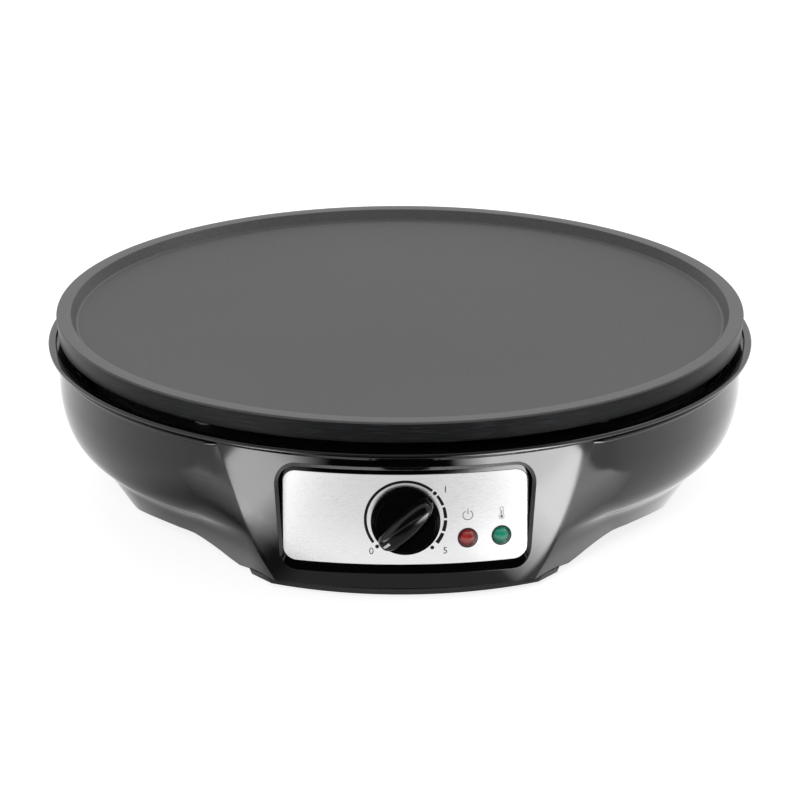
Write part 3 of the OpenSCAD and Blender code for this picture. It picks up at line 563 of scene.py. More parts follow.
# ---- Mesh helpers ------------------------------------------------------------------------------------


def in_scene(name: str, data: bpy.types.ID) -> bpy.types.Object:
    """Makes an object from a mesh, curve, lamp or camera, and puts it in the scene."""
    obj = bpy.data.objects.new(name, data)
    bpy.context.scene.collection.objects.link(obj)
    return obj


def mesh_object(name: str, points: Sequence[Point], edges: Sequence[tuple[int, int]] = (),
                faces: Sequence[Sequence[int]] = ()) -> bpy.types.Object:
    """Makes an object from points in millimetres.

    Args:
        name: Name of the object.
        points: The vertices, in millimetres.
        edges: Loose edges.
        faces: The faces.

    Returns:
        The object, at the origin.
    """
    mesh = bpy.data.meshes.new(name)
    mesh.from_pydata([(x * MM, y * MM, z * MM) for x, y, z in points], list(edges), list(faces))
    return in_scene(name, mesh)


def box(name: str, x: Span, y: Span, z: Span) -> bpy.types.Object:
    """Makes a box from its spans along the axes, in millimetres."""
    corners = [(x[i], y[j], height) for height in z for i, j in ((0, 0), (1, 0), (1, 1), (0, 1))]
    sides = [(k, (k + 1) % 4, (k + 1) % 4 + 4, k + 4) for k in range(4)]
    return mesh_object(name, corners, faces=[(3, 2, 1, 0), (4, 5, 6, 7), *sides])


def grid_faces(rows: int, columns: int, wrap: bool) -> list[tuple[int, int, int, int]]:
    """Lists the quads of a grid whose points are stored row by row.

    Args:
        rows: Number of rows.
        columns: Number of columns.
        wrap: True if the last column joins the first.

    Returns:
        The quads.
    """
    quads = []
    for start in range(0, (rows - 1) * columns, columns):
        for j in range(columns if wrap else columns - 1):
            k = (j + 1) % columns
            quads.append((start + j, start + k, start + columns + k, start + columns + j))
    return quads


def clean(obj: bpy.types.Object, merge: float = 0.0) -> None:
    """Points the faces outwards, after merging points that are under a distance apart, in millimetres."""
    work = bmesh.new()
    work.from_mesh(obj.data)
    if merge:
        bmesh.ops.remove_doubles(work, verts=work.verts, dist=merge * MM)
    bmesh.ops.recalc_face_normals(work, faces=work.faces)
    work.to_mesh(obj.data)
    work.free()


def tidy(obj: bpy.types.Object, sharp: float = 35.0, merge: float = 0.002) -> None:
    """Merges doubles, points the faces outwards and shades an object smooth up to an angle.

    Args:
        obj: The object.
        sharp: Angle in degrees past which an edge stays sharp.
        merge: Distance in millimetres under which points are merged.
    """
    clean(obj, merge)
    obj.data.shade_smooth()
    obj.data.set_sharp_from_angle(angle=math.radians(sharp))


def modify(obj: bpy.types.Object, kind: str, **settings: object) -> None:
    """Adds a modifier, sets its properties and applies it."""
    modifier = obj.modifiers.new(kind.lower(), kind)
    for name, value in settings.items():
        setattr(modifier, name, value)
    bake(obj)


def cut(obj: bpy.types.Object, tool: bpy.types.Object, operation: str) -> None:
    """Joins a tool to a solid or cuts it away by an exact boolean, and removes the tool."""
    modify(obj, "BOOLEAN", operation=operation, solver="EXACT", object=tool)
    bpy.data.objects.remove(tool)


def thicken(obj: bpy.types.Object, thickness: float) -> None:
    """Gives a surface a wall behind it, with its thickness in millimetres."""
    modify(obj, "SOLIDIFY", thickness=thickness * MM, offset=-1.0)


def face_towards(obj: bpy.types.Object, way: Vector) -> None:
    """Flips an open surface if it faces away from a direction."""
    if sum((p.normal * p.area for p in obj.data.polygons), Vector()).dot(way) < 0:
        obj.data.flip_normals()


def four_round(radius: float) -> list[Point]:
    """Returns the places of four parts round the axis, halfway between X and Y."""
    return [(radius, 45 + 90 * k, 0) for k in range(4)]


@dataclass
class Workshop:
    """The geometry trees, and how a finished piece joins the model."""

    turning: GeometryTree
    sweeping: GeometryTree
    placing: GeometryTree
    nodes: dict[str, bpy.types.Object]

    def add(self, obj: bpy.types.Object, body: str, material: bpy.types.Material, slot: str,
            stands_for: Sequence[str] = ()) -> None:
        """Gives a piece its finish and joins it to the model.

        Args:
            obj: The finished piece.
            body: The body that it rides on.
            material: Its finish.
            slot: The material slot of the record that it belongs to; not used.
            stands_for: The nodes that it replaces.
        """
        obj.data.materials.clear()
        obj.data.materials.append(material)
        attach(obj, body)
        if stands_for:
            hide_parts(*stands_for)
        LOG.info("%s: %d faces", obj.name, len(obj.data.polygons))

    def turn(self, name: str, profile: Sequence[Point], material: bpy.types.Material, closed: bool = False,
             segments: int = 96, place: Matrix | None = None, sharp: float = 35.0) -> bpy.types.Object:
        """Turns a profile round the Z axis.

        Args:
            name: Name of the piece.
            profile: Points as radius, height and fillet radius, in millimetres.
            material: The finish.
            closed: True for a ring's closed profile, False for one that starts and ends on the axis.
            segments: Number of steps round the axis.
            place: Where the piece goes.
            sharp: Angle in degrees past which an edge stays sharp.

        Returns:
            The turned piece.
        """
        count = len(profile)
        edges = [(i, i + 1) for i in range(count - 1)] + ([(count - 1, 0)] if closed else [])
        obj = mesh_object(name, [(r, 0.0, z) for r, z, _ in profile], edges)
        fillets = obj.data.attributes.new("fillet", "FLOAT", "POINT")
        fillets.data.foreach_set("value", [f * MM for _, _, f in profile])
        self.turning.apply(obj, {
            TreeInput.SEGMENTS: segments, TreeInput.CLOSED: int(closed), TreeInput.FINISH: material,
        })
        tidy(obj, sharp)
        if place:
            obj.data.transform(place)
        return obj

    def place_round(self, name: str, part: bpy.types.Object, places: Sequence[Point],
                    material: bpy.types.Material) -> bpy.types.Object:
        """Puts copies of a part round the axis and removes the part.

        Args:
            name: Name of the piece.
            part: The part, with its +X away from the axis.
            places: Radius, angle in degrees and height of each copy.
            material: The finish.

        Returns:
            The piece.
        """
        obj = mesh_object(name, [
            (r * math.cos(math.radians(a)), r * math.sin(math.radians(a)), z) for r, a, z in places
        ])
        self.placing.apply(obj, {TreeInput.PART: part, TreeInput.FINISH: material})
        bpy.data.objects.remove(part)
        return obj

    def smooth_copy(self, node: str, body: str, material: bpy.types.Material, slot: str,
                    sharp: float = 28.0) -> bpy.types.Object:
        """Makes a merged, smoothly shaded copy of a node, which it replaces.

        Args:
            node: Name of the node.
            body: The body that the copy rides on.
            material: Its finish.
            slot: Its material slot.
            sharp: Angle in degrees past which an edge stays sharp.

        Returns:
            The copy.
        """
        obj = in_scene(node + "_finished", self.nodes[node].data.copy())
        tidy(obj, sharp)
        self.add(obj, body, material, slot, [node])
        return obj


# ---- Griddle plate -----------------------------------------------------------------------------------


@dataclass
class GriddlePlate:
    """The cast plate with its rim, and the bosses under it."""

    radius: float = 154.0
    rim_top: float = 82.0
    floor_top: float = 77.4
    underside: float = 73.4
    skirt_bottom: float = 72.5
    side_draft: float = 1.0
    skirt_width: float = 5.0
    land_width: float = 6.5
    slope_run: float = 2.5
    boss_radius: float = 6.0
    boss_bottom: float = 65.8
    boss_ring: float = 118.0

    def profile(self) -> list[Point]:
        """Returns the plate's filleted section."""
        edge = self.radius - self.side_draft
        skirt = edge - self.skirt_width
        land = self.radius - self.land_width
        slope = land - self.slope_run
        return [
            (0, self.underside, 0), (skirt, self.underside, 0.3), (skirt, self.skirt_bottom, 0.3),
            (edge, self.skirt_bottom, 0.6), (self.radius, self.rim_top, 0.6), (land, self.rim_top, 0.5),
            (slope, self.floor_top, 1.0), (slope * 0.6, self.floor_top, 0), (0, self.floor_top, 0),
        ]

    def build(self, shop: Workshop) -> None:
        """Builds the plate and its bosses."""
        coat = CoatedCasting("griddle coating").make()
        plate = shop.turn("griddle_casting", self.profile(), coat, segments=288)
        shop.add(plate, "base", coat, "griddle_coating", ["griddle_plate"])
        boss = shop.turn("boss", [
            (0, self.boss_bottom, 0), (self.boss_radius, self.boss_bottom, 0.5),
            (self.boss_radius, self.underside + 1, 0), (0, self.underside + 1, 0),
        ], coat, segments=32)
        bosses = shop.place_round("plate_bosses", boss, four_round(self.boss_ring), coat)
        shop.add(bosses, "base", coat, "griddle_coating", ["griddle_plate"])


# ---- Housing -----------------------------------------------------------------------------------------


def bezier(a: Sequence[float], b: Sequence[float], c: Sequence[float], d: Sequence[float],
           t: float) -> tuple[float, ...]:
    """Returns the point at t on a cubic curve."""
    s = 1 - t
    return tuple(
        s ** 3 * p + 3 * t * s * s * q + 3 * t * t * s * u + t ** 3 * v for p, q, u, v in zip(a, b, c, d)
    )


def between(table: Sequence[Span], at: float) -> float:
    """Reads a value from a short table by smooth interpolation.

    Args:
        table: Pairs of place and value, with rising places.
        at: The place.

    Returns:
        The value there, held past the table's ends.
    """
    at = min(max(at, table[0][0]), table[-1][0])
    for i in range(len(table) - 1):
        (z0, v0), (z1, v1) = table[i], table[i + 1]
        if at <= z1:
            before = table[max(i - 1, 0)]
            after = table[min(i + 2, len(table) - 1)]
            slope0 = (v1 - before[1]) / (z1 - before[0])
            slope1 = (after[1] - v0) / (after[0] - z0)
            t = (at - z0) / (z1 - z0)
            h = z1 - z0
            return ((2 * t ** 3 - 3 * t ** 2 + 1) * v0 + (t ** 3 - 2 * t ** 2 + t) * h * slope0
                    + (3 * t ** 2 - 2 * t ** 3) * v1 + (t ** 3 - t ** 2) * h * slope1)
    return table[-1][1]


@dataclass
class Panel:
    """Where the steel panel sits: the middle of its face, its bend and its lean."""

    middle: Point = (0.0, -145.2936, 35.8)
    lean: float = 2.0
    bend: float = 160.0
    width: float = 102.0
    height: float = 39.4
    corner: float = 5.5
    thickness: float = 0.8
    slope_side: float = 0.55
    slope_top: float = 0.8
    slope_low: float = 1.9

    def frame(self) -> Matrix:
        """Returns the frame of the panel: x right, y inwards, z up along it, in metres."""
        lean = Matrix.Rotation(math.radians(-self.lean), 4, "X")
        return Matrix.Translation(Vector(self.middle) * MM) @ lean

    def outward(self) -> Vector:
        """Returns the direction out of the panel's face."""
        return self.frame().to_3x3() @ Vector((0, -1, 0))

    def knob_frame(self) -> Matrix:
        """Returns the frame of the knob: x right, y up the panel, z out of it."""
        return self.frame() @ Matrix.Rotation(math.radians(90), 4, "X")

    def lamp_frame(self, x: float, drop: float) -> Matrix:
        """Returns a frame on the bent face, with z out of it.

        Args:
            x: Sideways place in millimetres.
            drop: Distance below the middle in millimetres.

        Returns:
            The frame.
        """
        centre = Matrix.Translation(Vector((0, self.bend, -drop)) * MM)
        turned = Matrix.Rotation(math.asin(x / self.bend), 4, "Z")
        face = Matrix.Translation(Vector((0, -self.bend, 0)) * MM)
        return self.frame() @ centre @ turned @ face @ Matrix.Rotation(math.radians(90), 4, "X")

    def sag(self, x: float, lift: float = 0.0) -> float:
        """Returns how far the bent face lies behind its middle at x, less a lift off the face."""
        return self.bend - math.sqrt((self.bend + lift) ** 2 - x * x)

    def loop(self, depth: float, spread: float, steps: int = 12) -> list[Point]:
        """Makes a rounded rectangle round the panel in the panel's frame.

        Args:
            depth: How far it lies in front of the bent face; it grows with the frame's slopes.
            spread: Extra size on each side.
            steps: Steps in each corner.

        Returns:
            The points, in order round the panel.
        """
        grow_x = depth * self.slope_side
        points = []
        for quarter, (sx, sz) in enumerate(((1, 1), (-1, 1), (-1, -1), (1, -1))):
            grow_z = depth * (self.slope_top if sz > 0 else self.slope_low)
            centre_x = sx * (self.width / 2 - self.corner)
            centre_z = sz * (self.height / 2 - self.corner)
            for step in range(steps + 1):
                turn = math.radians(90 * quarter + 90 * step / steps)
                x = centre_x + math.cos(turn) * (self.corner + grow_x + spread)
                z = centre_z + math.sin(turn) * (self.corner + grow_z + spread)
                points.append((x, self.sag(min(max(x, -self.width), self.width)) - depth, z))
            if quarter in (0, 2):
                side = 1 if quarter == 0 else -1
                for step in range(1, 30):
                    x = side * (self.width / 2 - self.corner) * (1 - step / 15)
                    z = side * (self.height / 2 + grow_z + spread)
                    points.append((x, self.sag(x) - depth, z))
        return points


@dataclass
class Housing:
    """The glossy upper housing: bowl, console with its panel recess, flange, bead and inner posts."""

    panel: Panel
    base: float = 3.0
    seam: float = 6.0
    seam_start: float = -113.2
    seam_run: float = 14.0
    top: float = 66.5
    flange_top: float = 69.3
    flange_radius: float = 157.8
    flange_inner: float = 154.3
    wall: float = 2.6
    leg_radius: float = 126.4
    leg_top: Span = (135.9, 17.4)
    belly_turn: Span = (143.0, 25.2)
    belly_top: Span = (153.2, 50.2)
    wall_radius: float = 153.5
    face_y: float = -147.2
    face_radius: float = 165.0
    face_lean: float = 4.0
    arch_radius: float = 110.0
    arch_rise: float = 7.7
    arch_turn: float = 42.0
    low_rows: int = 9
    low_top: float = 14.0
    edge_round: float = 0.5
    crease_round: float = 2.2
    crease_run: float = 8.0
    crease_sink: float = 0.5
    bead_height: float = 64.7
    bead_turn: float = 31.0
    bead_radius: float = 1.15
    bead_proud: float = 0.45
    bead_tuck: float = 1.5
    flange_thickness: float = 1.8
    post_ring: float = 118.0
    post_radius: float = 7.5
    post_bottom: float = 25.2
    post_top: float = 57.0
    rib_width: float = 2.4

    edge_x = ((3.0, 53.2), (6.8, 55.0), (17.0, 61.0), (33.0, 68.0), (55.5, 75.2), (67.0, 79.4))
    crease_turn = (
        (3.0, 46.5), (15.0, 42.1), (22.6, 38.8), (33.0, 34.6), (43.0, 33.2), (56.0, 32.1), (67.0, 31.9),
    )

    def __post_init__(self) -> None:
        """Works out the bowl's section."""
        leg, turn, top = self.leg_top, self.belly_turn, self.belly_top
        low = [bezier(leg, (leg[0] + 2, leg[1] + 3.2), (turn[0] - 3.4, turn[1] - 2.3), turn, i / 12)
               for i in range(13)]
        high = [bezier(turn, (turn[0] + 6.3, turn[1] + 4.3), (top[0] - 0.9, top[1] - 13), top, i / 16)
                for i in range(17)]
        self.section = [(self.leg_radius, self.base), *low, *high[1:], (self.wall_radius, self.flange_top)]

    def bowl(self, z: float) -> float:
        """Returns the bowl's radius at a height."""
        for (r0, z0), (r1, z1) in zip(self.section, self.section[1:]):
            if z <= z1:
                return r0 + (r1 - r0) * (z - z0) / (z1 - z0)
        return self.section[-1][0]

    def face(self, x: float, z: float) -> float:
        """Returns the y of the console's face."""
        rise = math.tan(math.radians(self.face_lean)) * (z - self.base)
        return self.face_y - rise + self.face_radius - math.sqrt(self.face_radius ** 2 - x * x)

    def on_circle(self, radius: float, turn: float) -> Vector:
        """Returns the point at a radius and a turn in radians, from the front towards the right."""
        return Vector((radius * math.sin(turn), -radius * math.cos(turn)))

    def right_half(self, z: float) -> list[Span]:
        """Returns the outline of the right half at a height, from the front middle to the back."""
        edge_x = between(self.edge_x, z)
        edge = Vector((edge_x, self.face(edge_x, z)))
        radius = self.bowl(z)
        turn = math.radians(between(self.crease_turn, z))
        first = turn + self.crease_run / radius
        crease = self.on_circle(radius - self.crease_sink, turn)
        flank = (crease - edge).normalized()
        face_end = Vector((edge.x - self.edge_round, self.face(edge.x - self.edge_round, z)))
        flank_start = edge + flank * self.edge_round
        flank_end = crease - flank * self.crease_round
        outline = [Vector((face_end.x * k / 40, self.face(face_end.x * k / 40, z))) for k in range(40)]
        outline += self.rounding(face_end, edge, flank_start)
        outline += [flank_start.lerp(flank_end, k / 9) for k in range(1, 9)]
        outline += self.rounding(flank_end, crease, self.on_circle(radius, first))
        outline += [self.on_circle(radius, first + (math.pi - first) * k / 100) for k in range(1, 101)]
        return [(p.x, p.y) for p in outline]

    def rounding(self, start: Vector, corner: Vector, end: Vector) -> list[Vector]:
        """Returns six points of the curve that rounds a corner."""
        steps = (0, 0.2, 0.4, 0.6, 0.8, 1)
        return [start * (1 - t) ** 2 + corner * 2 * t * (1 - t) + end * t * t for t in steps]

    def lower_edge(self, x: float, y: float) -> float:
        """Returns the height of the housing's lower edge at a place on its outline."""
        low = self.base + (self.seam - self.base) * min(max((self.seam_start - y) / self.seam_run, 0.0), 1.0)
        for turn in (self.arch_turn, 180 - self.arch_turn, 180 + self.arch_turn, -self.arch_turn):
            a = math.radians(turn)
            along = x * math.cos(a) + y * math.sin(a)
            across = y * math.cos(a) - x * math.sin(a)
            if along > 0 and abs(across) < self.arch_radius:
                drop = self.arch_radius - math.sqrt(self.arch_radius ** 2 - across ** 2)
                low = max(low, self.base + self.arch_rise - drop)
        return low

    def skin(self) -> bpy.types.Object:
        """Builds the outer surface of the bowl and console."""
        fine = [self.low_top + k for k in range(1, 20)]
        coarse = [34 + 2.2 * k for k in range(15)]
        heights = [z for z in fine + coarse if z < self.top - 1] + [self.top]
        lows = [self.lower_edge(x, y) for x, y in self.right_half(8.0)]
        rows = []
        for k in range(self.low_rows):
            levels = [low + (self.low_top - low) * k / (self.low_rows - 1) for low in lows]
            rows.append([(*self.right_half(z)[index], z) for index, z in enumerate(levels)])
        rows += [[(x, y, z) for x, y in self.right_half(z)] for z in heights]
        points = []
        for half in rows:
            points += half + [(-x, y, z) for x, y, z in reversed(half[1:-1])]
        faces = grid_faces(len(rows), len(points) // len(rows), True)
        return mesh_object("housing_shell", points, faces=faces)

    def frame_block(self) -> bpy.types.Object:
        """Builds the block behind the console's face that the recess is cut from."""
        panel = self.panel
        front = [(x, panel.sag(x) - 0.2, z) for x, _, z in panel.loop(0.0, 6.0)]
        back = [(x, panel.sag(x) + 7.0, z) for x, _, z in panel.loop(0.0, 4.0)]
        return self.loft("frame_block", [front, back])

    def recess_tool(self) -> bpy.types.Object:
        """Builds the recess: the panel's seat and the frame's slopes in front of it."""
        panel = self.panel
        seat = [(x, panel.sag(x) + panel.thickness + 0.1, z) for x, _, z in panel.loop(0.0, 0.1)]
        loops = [seat, panel.loop(0.0, 0.1), panel.loop(6.0, 0.1), panel.loop(16.0, 0.1)]
        return self.loft("recess_tool", loops)

    def loft(self, name: str, loops: Sequence[Sequence[Point]]) -> bpy.types.Object:
        """Joins loops in the panel's frame into a closed solid.

        Args:
            name: Name of the solid.
            loops: Loops with the same number of points.

        Returns:
            The solid, in place.
        """
        count = len(loops[0])
        faces = grid_faces(len(loops), count, True)
        points = [p for loop in loops for p in loop]
        for row, order in ((0, 1), (len(loops) - 1, -1)):
            strip = list(range(row * count, (row + 1) * count))
            half = len(strip) // 2
            for k in range(half - 1):
                quad = [strip[k], strip[k + 1], strip[count - 2 - k], strip[count - 1 - k]]
                faces.append(tuple(quad[::order]))
        obj = mesh_object(name, points, faces=faces)
        clean(obj)
        obj.data.transform(self.panel.frame())
        return obj

    def flange_profile(self) -> list[Point]:
        """Returns the closed section of the flange."""
        top, under = self.flange_top, self.flange_top - self.flange_thickness
        wall, inside, low = self.wall_radius, self.wall_radius - 3.4, self.top - 1.6
        return [
            (self.flange_inner, top, 0.4), (self.flange_radius, top, 0.7), (self.flange_radius, under, 0.7),
            (wall + 1.0, under - 0.9, 0.8), (wall - 0.6, low, 0), (inside, low, 0), (inside, under, 0.3),
            (self.flange_inner, under, 0.3),
        ]

    def bead_path(self) -> list[Point]:
        """Returns the path of the bead under the flange, from one console corner round to the other."""
        start = math.radians(self.bead_turn)
        run = math.tau - 2 * start
        steps = 240
        path = []
        for k in range(steps + 1):
            from_end = min(k, steps - k) / steps * run * self.wall_radius
            tuck = self.bead_tuck * math.exp(-from_end / self.bead_tuck)
            place = self.on_circle(self.wall_radius + self.bead_proud - tuck, start + run * k / steps)
            path.append((*place, self.bead_height))
        return path

    def build(self, shop: Workshop) -> None:
        """Builds the housing's pieces."""
        gloss = GlossPlastic("gloss black housing").make()
        shell = self.skin()
        tidy(shell)
        thicken(shell, self.wall)
        cut(shell, self.frame_block(), "UNION")
        cut(shell, self.recess_tool(), "DIFFERENCE")
        tidy(shell, 24.0)
        flange = shop.turn("housing_flange", self.flange_profile(), gloss, closed=True, segments=288)

        path = self.bead_path()
        bead = mesh_object("housing_bead", path, [(k, k + 1) for k in range(len(path) - 1)])
        shop.sweeping.apply(bead, {
            TreeInput.SEGMENTS: 14, TreeInput.TUBE_RADIUS: self.bead_radius * MM, TreeInput.FINISH: gloss,
        })
        tidy(bead, 50.0)

        post = self.post(shop, gloss)
        posts = shop.place_round("housing_posts", post, four_round(self.post_ring), gloss)
        for piece in (shell, flange, bead, posts):
            shop.add(piece, "base", gloss, "gloss_black", ["upper_housing"])

    def post(self, shop: Workshop, gloss: bpy.types.Material) -> bpy.types.Object:
        """Builds one inner post with the rib that ties it to the wall.

        Args:
            shop: The workshop.
            gloss: The housing's finish.

        Returns:
            The post, with its middle at the origin and its rib towards +X.
        """
        post = shop.turn("post", [
            (0, self.post_bottom, 0), (self.post_radius, self.post_bottom, 0.6),
            (self.post_radius, self.post_top, 0.4), (0, self.post_top, 0),
        ], gloss, segments=40)
        low = self.post_bottom + 6
        half = self.rib_width / 2
        reach = self.bowl(low) - self.post_ring - 1.5
        rib = box("rib", (2, reach), (-half, half), (low, self.post_top - 0.5))
        cut(post, rib, "UNION")
        tidy(post)
        return post


# ---- Control panel -----------------------------------------------------------------------------------


@dataclass
class ControlPanel:
    """The bent steel panel with its printed scale and symbols, and the lamps."""

    panel: Panel
    lamp_x: Span = (26.0, 40.2)
    lamp_drop: float = 8.8
    lens_radius: float = 3.9
    lens_dome: float = 2.4
    lens_body: float = 9.0
    hole_play: float = 0.15
    # Width of the black ring round each lens, which stands in for the shade in the gap round it.
    gap_shade_width: float = 0.42
    bush_radius: float = 5.1
    scale_radius: float = 16.7
    ring_span: Span = (-127.0, 41.5)
    ring_width: float = 1.2
    dot_turns: tuple[float, ...] = (-135.0, 46.8, 138.0)
    dot_radius: float = 0.82
    dash_span: Span = (52.0, 128.5)
    dash_gap: float = 3.2
    dash_count: int = 4
    dash_width: float = 1.15
    dash_growth: float = 0.1375
    dash_flare: float = 0.14
    print_lift: float = 0.02
    print_thickness: float = 0.015
    symbol_height: float = 1.2
    number_height: float = 3.0
    font_height: float = 0.72

    numbers = (("0", -14.2, -14.0), ("1", 16.6, 12.9), ("5", 16.6, -14.0))

    def plate(self) -> bpy.types.Object:
        """Builds the bent steel plate."""
        panel = self.panel
        half_w, half_h, corner = panel.width / 2, panel.height / 2, panel.corner
        places = [half_w - corner + corner * math.sin(math.radians(90 * k / 10)) for k in range(11)]
        flat = [(half_w - corner) * k / 24 for k in range(24)]
        right = flat + places
        columns = [-x for x in reversed(right[1:])] + right
        rows = 25
        points = []
        for row in range(rows):
            share = 2 * row / (rows - 1) - 1
            for x in columns:
                over = max(abs(x) - (half_w - corner), 0.0)
                tall = half_h - corner + math.sqrt(max(corner ** 2 - over ** 2, 0.0))
                points.append((x, panel.sag(x), share * tall))
        obj = mesh_object("fascia_plate", points, faces=grid_faces(rows, len(columns), False))
        obj.data.transform(panel.frame())
        tidy(obj, 60.0)
        face_towards(obj, panel.outward())
        thicken(obj, panel.thickness - 0.05)
        return obj

    def drill(self, place: Matrix, radius: float) -> bpy.types.Object:
        """Makes a tool that drills a round hole through the panel.

        Args:
            place: Frame of the hole, with z out of the panel.
            radius: Radius in millimetres.

        Returns:
            The tool.
        """
        count = 48
        ring = [(radius * math.cos(math.tau * k / count), radius * math.sin(math.tau * k / count))
                for k in range(count)]
        points = [(x, y, z) for z in (-3.0, 3.0) for x, y in ring]
        faces = grid_faces(2, count, True) + [tuple(reversed(range(count))), tuple(range(count, 2 * count))]
        tool = mesh_object("drill", points, faces=faces)
        tool.data.transform(place)
        return tool

    def build_plate(self, shop: Workshop) -> None:
        """Builds the steel plate with its holes."""
        steel = BrushedMetal("brushed steel").make()
        plate = self.plate()
        cut(plate, self.drill(self.panel.knob_frame(), self.bush_radius), "DIFFERENCE")
        for x in self.lamp_x:
            place = self.panel.lamp_frame(x, self.lamp_drop)
            cut(plate, self.drill(place, self.lens_radius + self.hole_play), "DIFFERENCE")
        tidy(plate, 30.0)
        shop.add(plate, "base", steel, "brushed_steel", ["control_fascia"])

    def printed(self, name: str, flat: bpy.types.Object, shop: Workshop, ink: bpy.types.Material) -> None:
        """Lays a flat print on the bent panel and joins it to the model.

        Args:
            name: Name of the print.
            flat: Flat mesh in millimetre-scaled metres, x right and y up.
            shop: The workshop.
            ink: The ink.
        """
        for vertex in flat.data.vertices:
            x, up = vertex.co.x / MM, vertex.co.y / MM
            vertex.co = (x * MM, self.panel.sag(x, self.print_lift) * MM, up * MM)
        flat.data.transform(self.panel.frame())
        flat.data.update()
        face_towards(flat, self.panel.outward())
        flat.name = name
        thicken(flat, self.print_thickness)
        shop.add(flat, "base", ink, "knob_black")

    def arc(self, start: float, end: float, radius: float, width: float, end_width: float | None = None,
            middle: Span = (0.0, 0.0)) -> Flat:
        """Makes a flat arc.

        Args:
            start: Start in degrees clockwise from the top.
            end: End in degrees clockwise from the top.
            radius: Radius of its middle line.
            width: Width at its start.
            end_width: Width at its end.
            middle: Centre of the arc.

        Returns:
            Points and faces.
        """
        steps = max(2, round(abs(end - start) / 3))
        last = width if end_width is None else end_width
        points = []
        for k in range(steps + 1):
            share = k / steps
            at = math.radians(start + (end - start) * share)
            half = (width + (last - width) * share) / 2
            for r in (radius - half, radius + half):
                points.append((middle[0] + r * math.sin(at), middle[1] + r * math.cos(at), 0.0))
        faces = [(2 * k, 2 * k + 1, 2 * k + 3, 2 * k + 2) for k in range(steps)]
        return points, faces

    def joined(self, name: str, shapes: Sequence[Flat]) -> bpy.types.Object:
        """Joins flat shapes into one mesh.

        Args:
            name: Name of the mesh.
            shapes: Points and faces of each shape.

        Returns:
            The object.
        """
        points: list[Point] = []
        faces: list[tuple[int, ...]] = []
        for more, quads in shapes:
            faces += [tuple(i + len(points) for i in quad) for quad in quads]
            points += more
        return mesh_object(name, points, faces=faces)

    def scale_marks(self) -> bpy.types.Object:
        """Builds the dial's scale: a long arc, three dots and four widening dashes."""
        radius = self.scale_radius
        shapes = [self.arc(*self.ring_span, radius, self.ring_width)]
        for turn in self.dot_turns:
            at = math.radians(turn)
            shapes.append(self.dot(radius * math.sin(at), radius * math.cos(at), self.dot_radius))
        first, last = self.dash_span
        length = (last - first - (self.dash_count - 1) * self.dash_gap) / self.dash_count
        for k in range(self.dash_count):
            start = first + k * (length + self.dash_gap)
            width = self.dash_width + self.dash_growth * k
            shapes.append(self.arc(start, start + length, radius, width, width + self.dash_flare))
        return self.joined("dial_scale", shapes)

    def dot(self, x: float, y: float, radius: float) -> Flat:
        """Makes a flat dot."""
        return self.arc(0.0, 360.0, radius / 2, radius, middle=(x, y))

    def bar(self, x0: float, y0: float, x1: float, y1: float) -> Flat:
        """Makes a flat upright bar between two corners."""
        return [(x0, y0, 0), (x1, y0, 0), (x1, y1, 0), (x0, y1, 0)], [(0, 1, 2, 3)]

    def power_symbol(self) -> bpy.types.Object:
        """Builds the power symbol over the red lamp."""
        x, y = self.lamp_x[0], self.symbol_height
        return self.joined("power_symbol", [
            self.arc(28.0, 332.0, 2.05, 0.3, middle=(x, y)), self.bar(x - 0.15, y + 0.5, x + 0.15, y + 2.8),
        ])

    def heat_symbol(self) -> bpy.types.Object:
        """Builds the thermometer symbol over the green lamp."""
        x, y = self.lamp_x[1], self.symbol_height
        return self.joined("heat_symbol", [
            self.arc(35.0, 325.0, 1.1, 0.2, middle=(x, y - 1.7)),
            self.arc(-90.0, 90.0, 0.62, 0.2, middle=(x, y + 2.0)),
            self.bar(x - 0.72, y - 0.75, x - 0.52, y + 2.0), self.bar(x + 0.52, y - 0.75, x + 0.72, y + 2.0),
            self.dot(x, y - 1.7, 0.6), self.bar(x - 0.15, y - 1.7, x + 0.15, y + 1.2),
        ])

    def number(self, text: str, x: float, y: float) -> bpy.types.Object:
        """Builds a printed number.

        Args:
            text: The number.
            x: Middle of the number, sideways.
            y: Middle of the number, upwards.

        Returns:
            The flat mesh.
        """
        curve = bpy.data.curves.new("number", "FONT")
        curve.body = text
        curve.size = self.number_height * MM / self.font_height
        curve.align_x = curve.align_y = "CENTER"
        curve.resolution_u = 6
        source = in_scene("number", curve)
        mesh = evaluated_mesh(source)
        bpy.data.objects.remove(source)
        mesh.transform(Matrix.Translation((x * MM, y * MM, 0)))
        return in_scene("number_" + text, mesh)

    def build_prints(self, shop: Workshop) -> None:
        """Builds the scale, the numbers and the symbols."""
        black = Ink("black ink", (0.004, 0.004, 0.004)).make()
        grey = Ink("grey ink", (0.05, 0.05, 0.05)).make()
        pale = Ink("pale grey ink", (0.2, 0.2, 0.2)).make()
        self.printed("dial_scale", self.scale_marks(), shop, black)
        self.printed("power_symbol", self.power_symbol(), shop, grey)
        self.printed("heat_symbol", self.heat_symbol(), shop, pale)
        for text, x, y in self.numbers:
            self.printed("number_" + text, self.number(text, x, y), shop, grey)

    def build_lamps(self, shop: Workshop) -> None:
        """Builds the two lenses."""
        radius, dome = self.lens_radius, self.lens_dome
        ball = (radius ** 2 + dome ** 2) / 2 / dome
        top = 0.3 + dome
        arc = [(ball * math.sin(t), top - ball * (1 - math.cos(t)), 0.0)
               for t in (math.asin(radius / ball) * (1 - k / 14) for k in range(15))]
        profile = [
            (0, -1.0, 0), (2.6, -1.0, 0.4), (2.6, -self.lens_body, 0), (radius, -self.lens_body, 0.2), *arc,
        ]
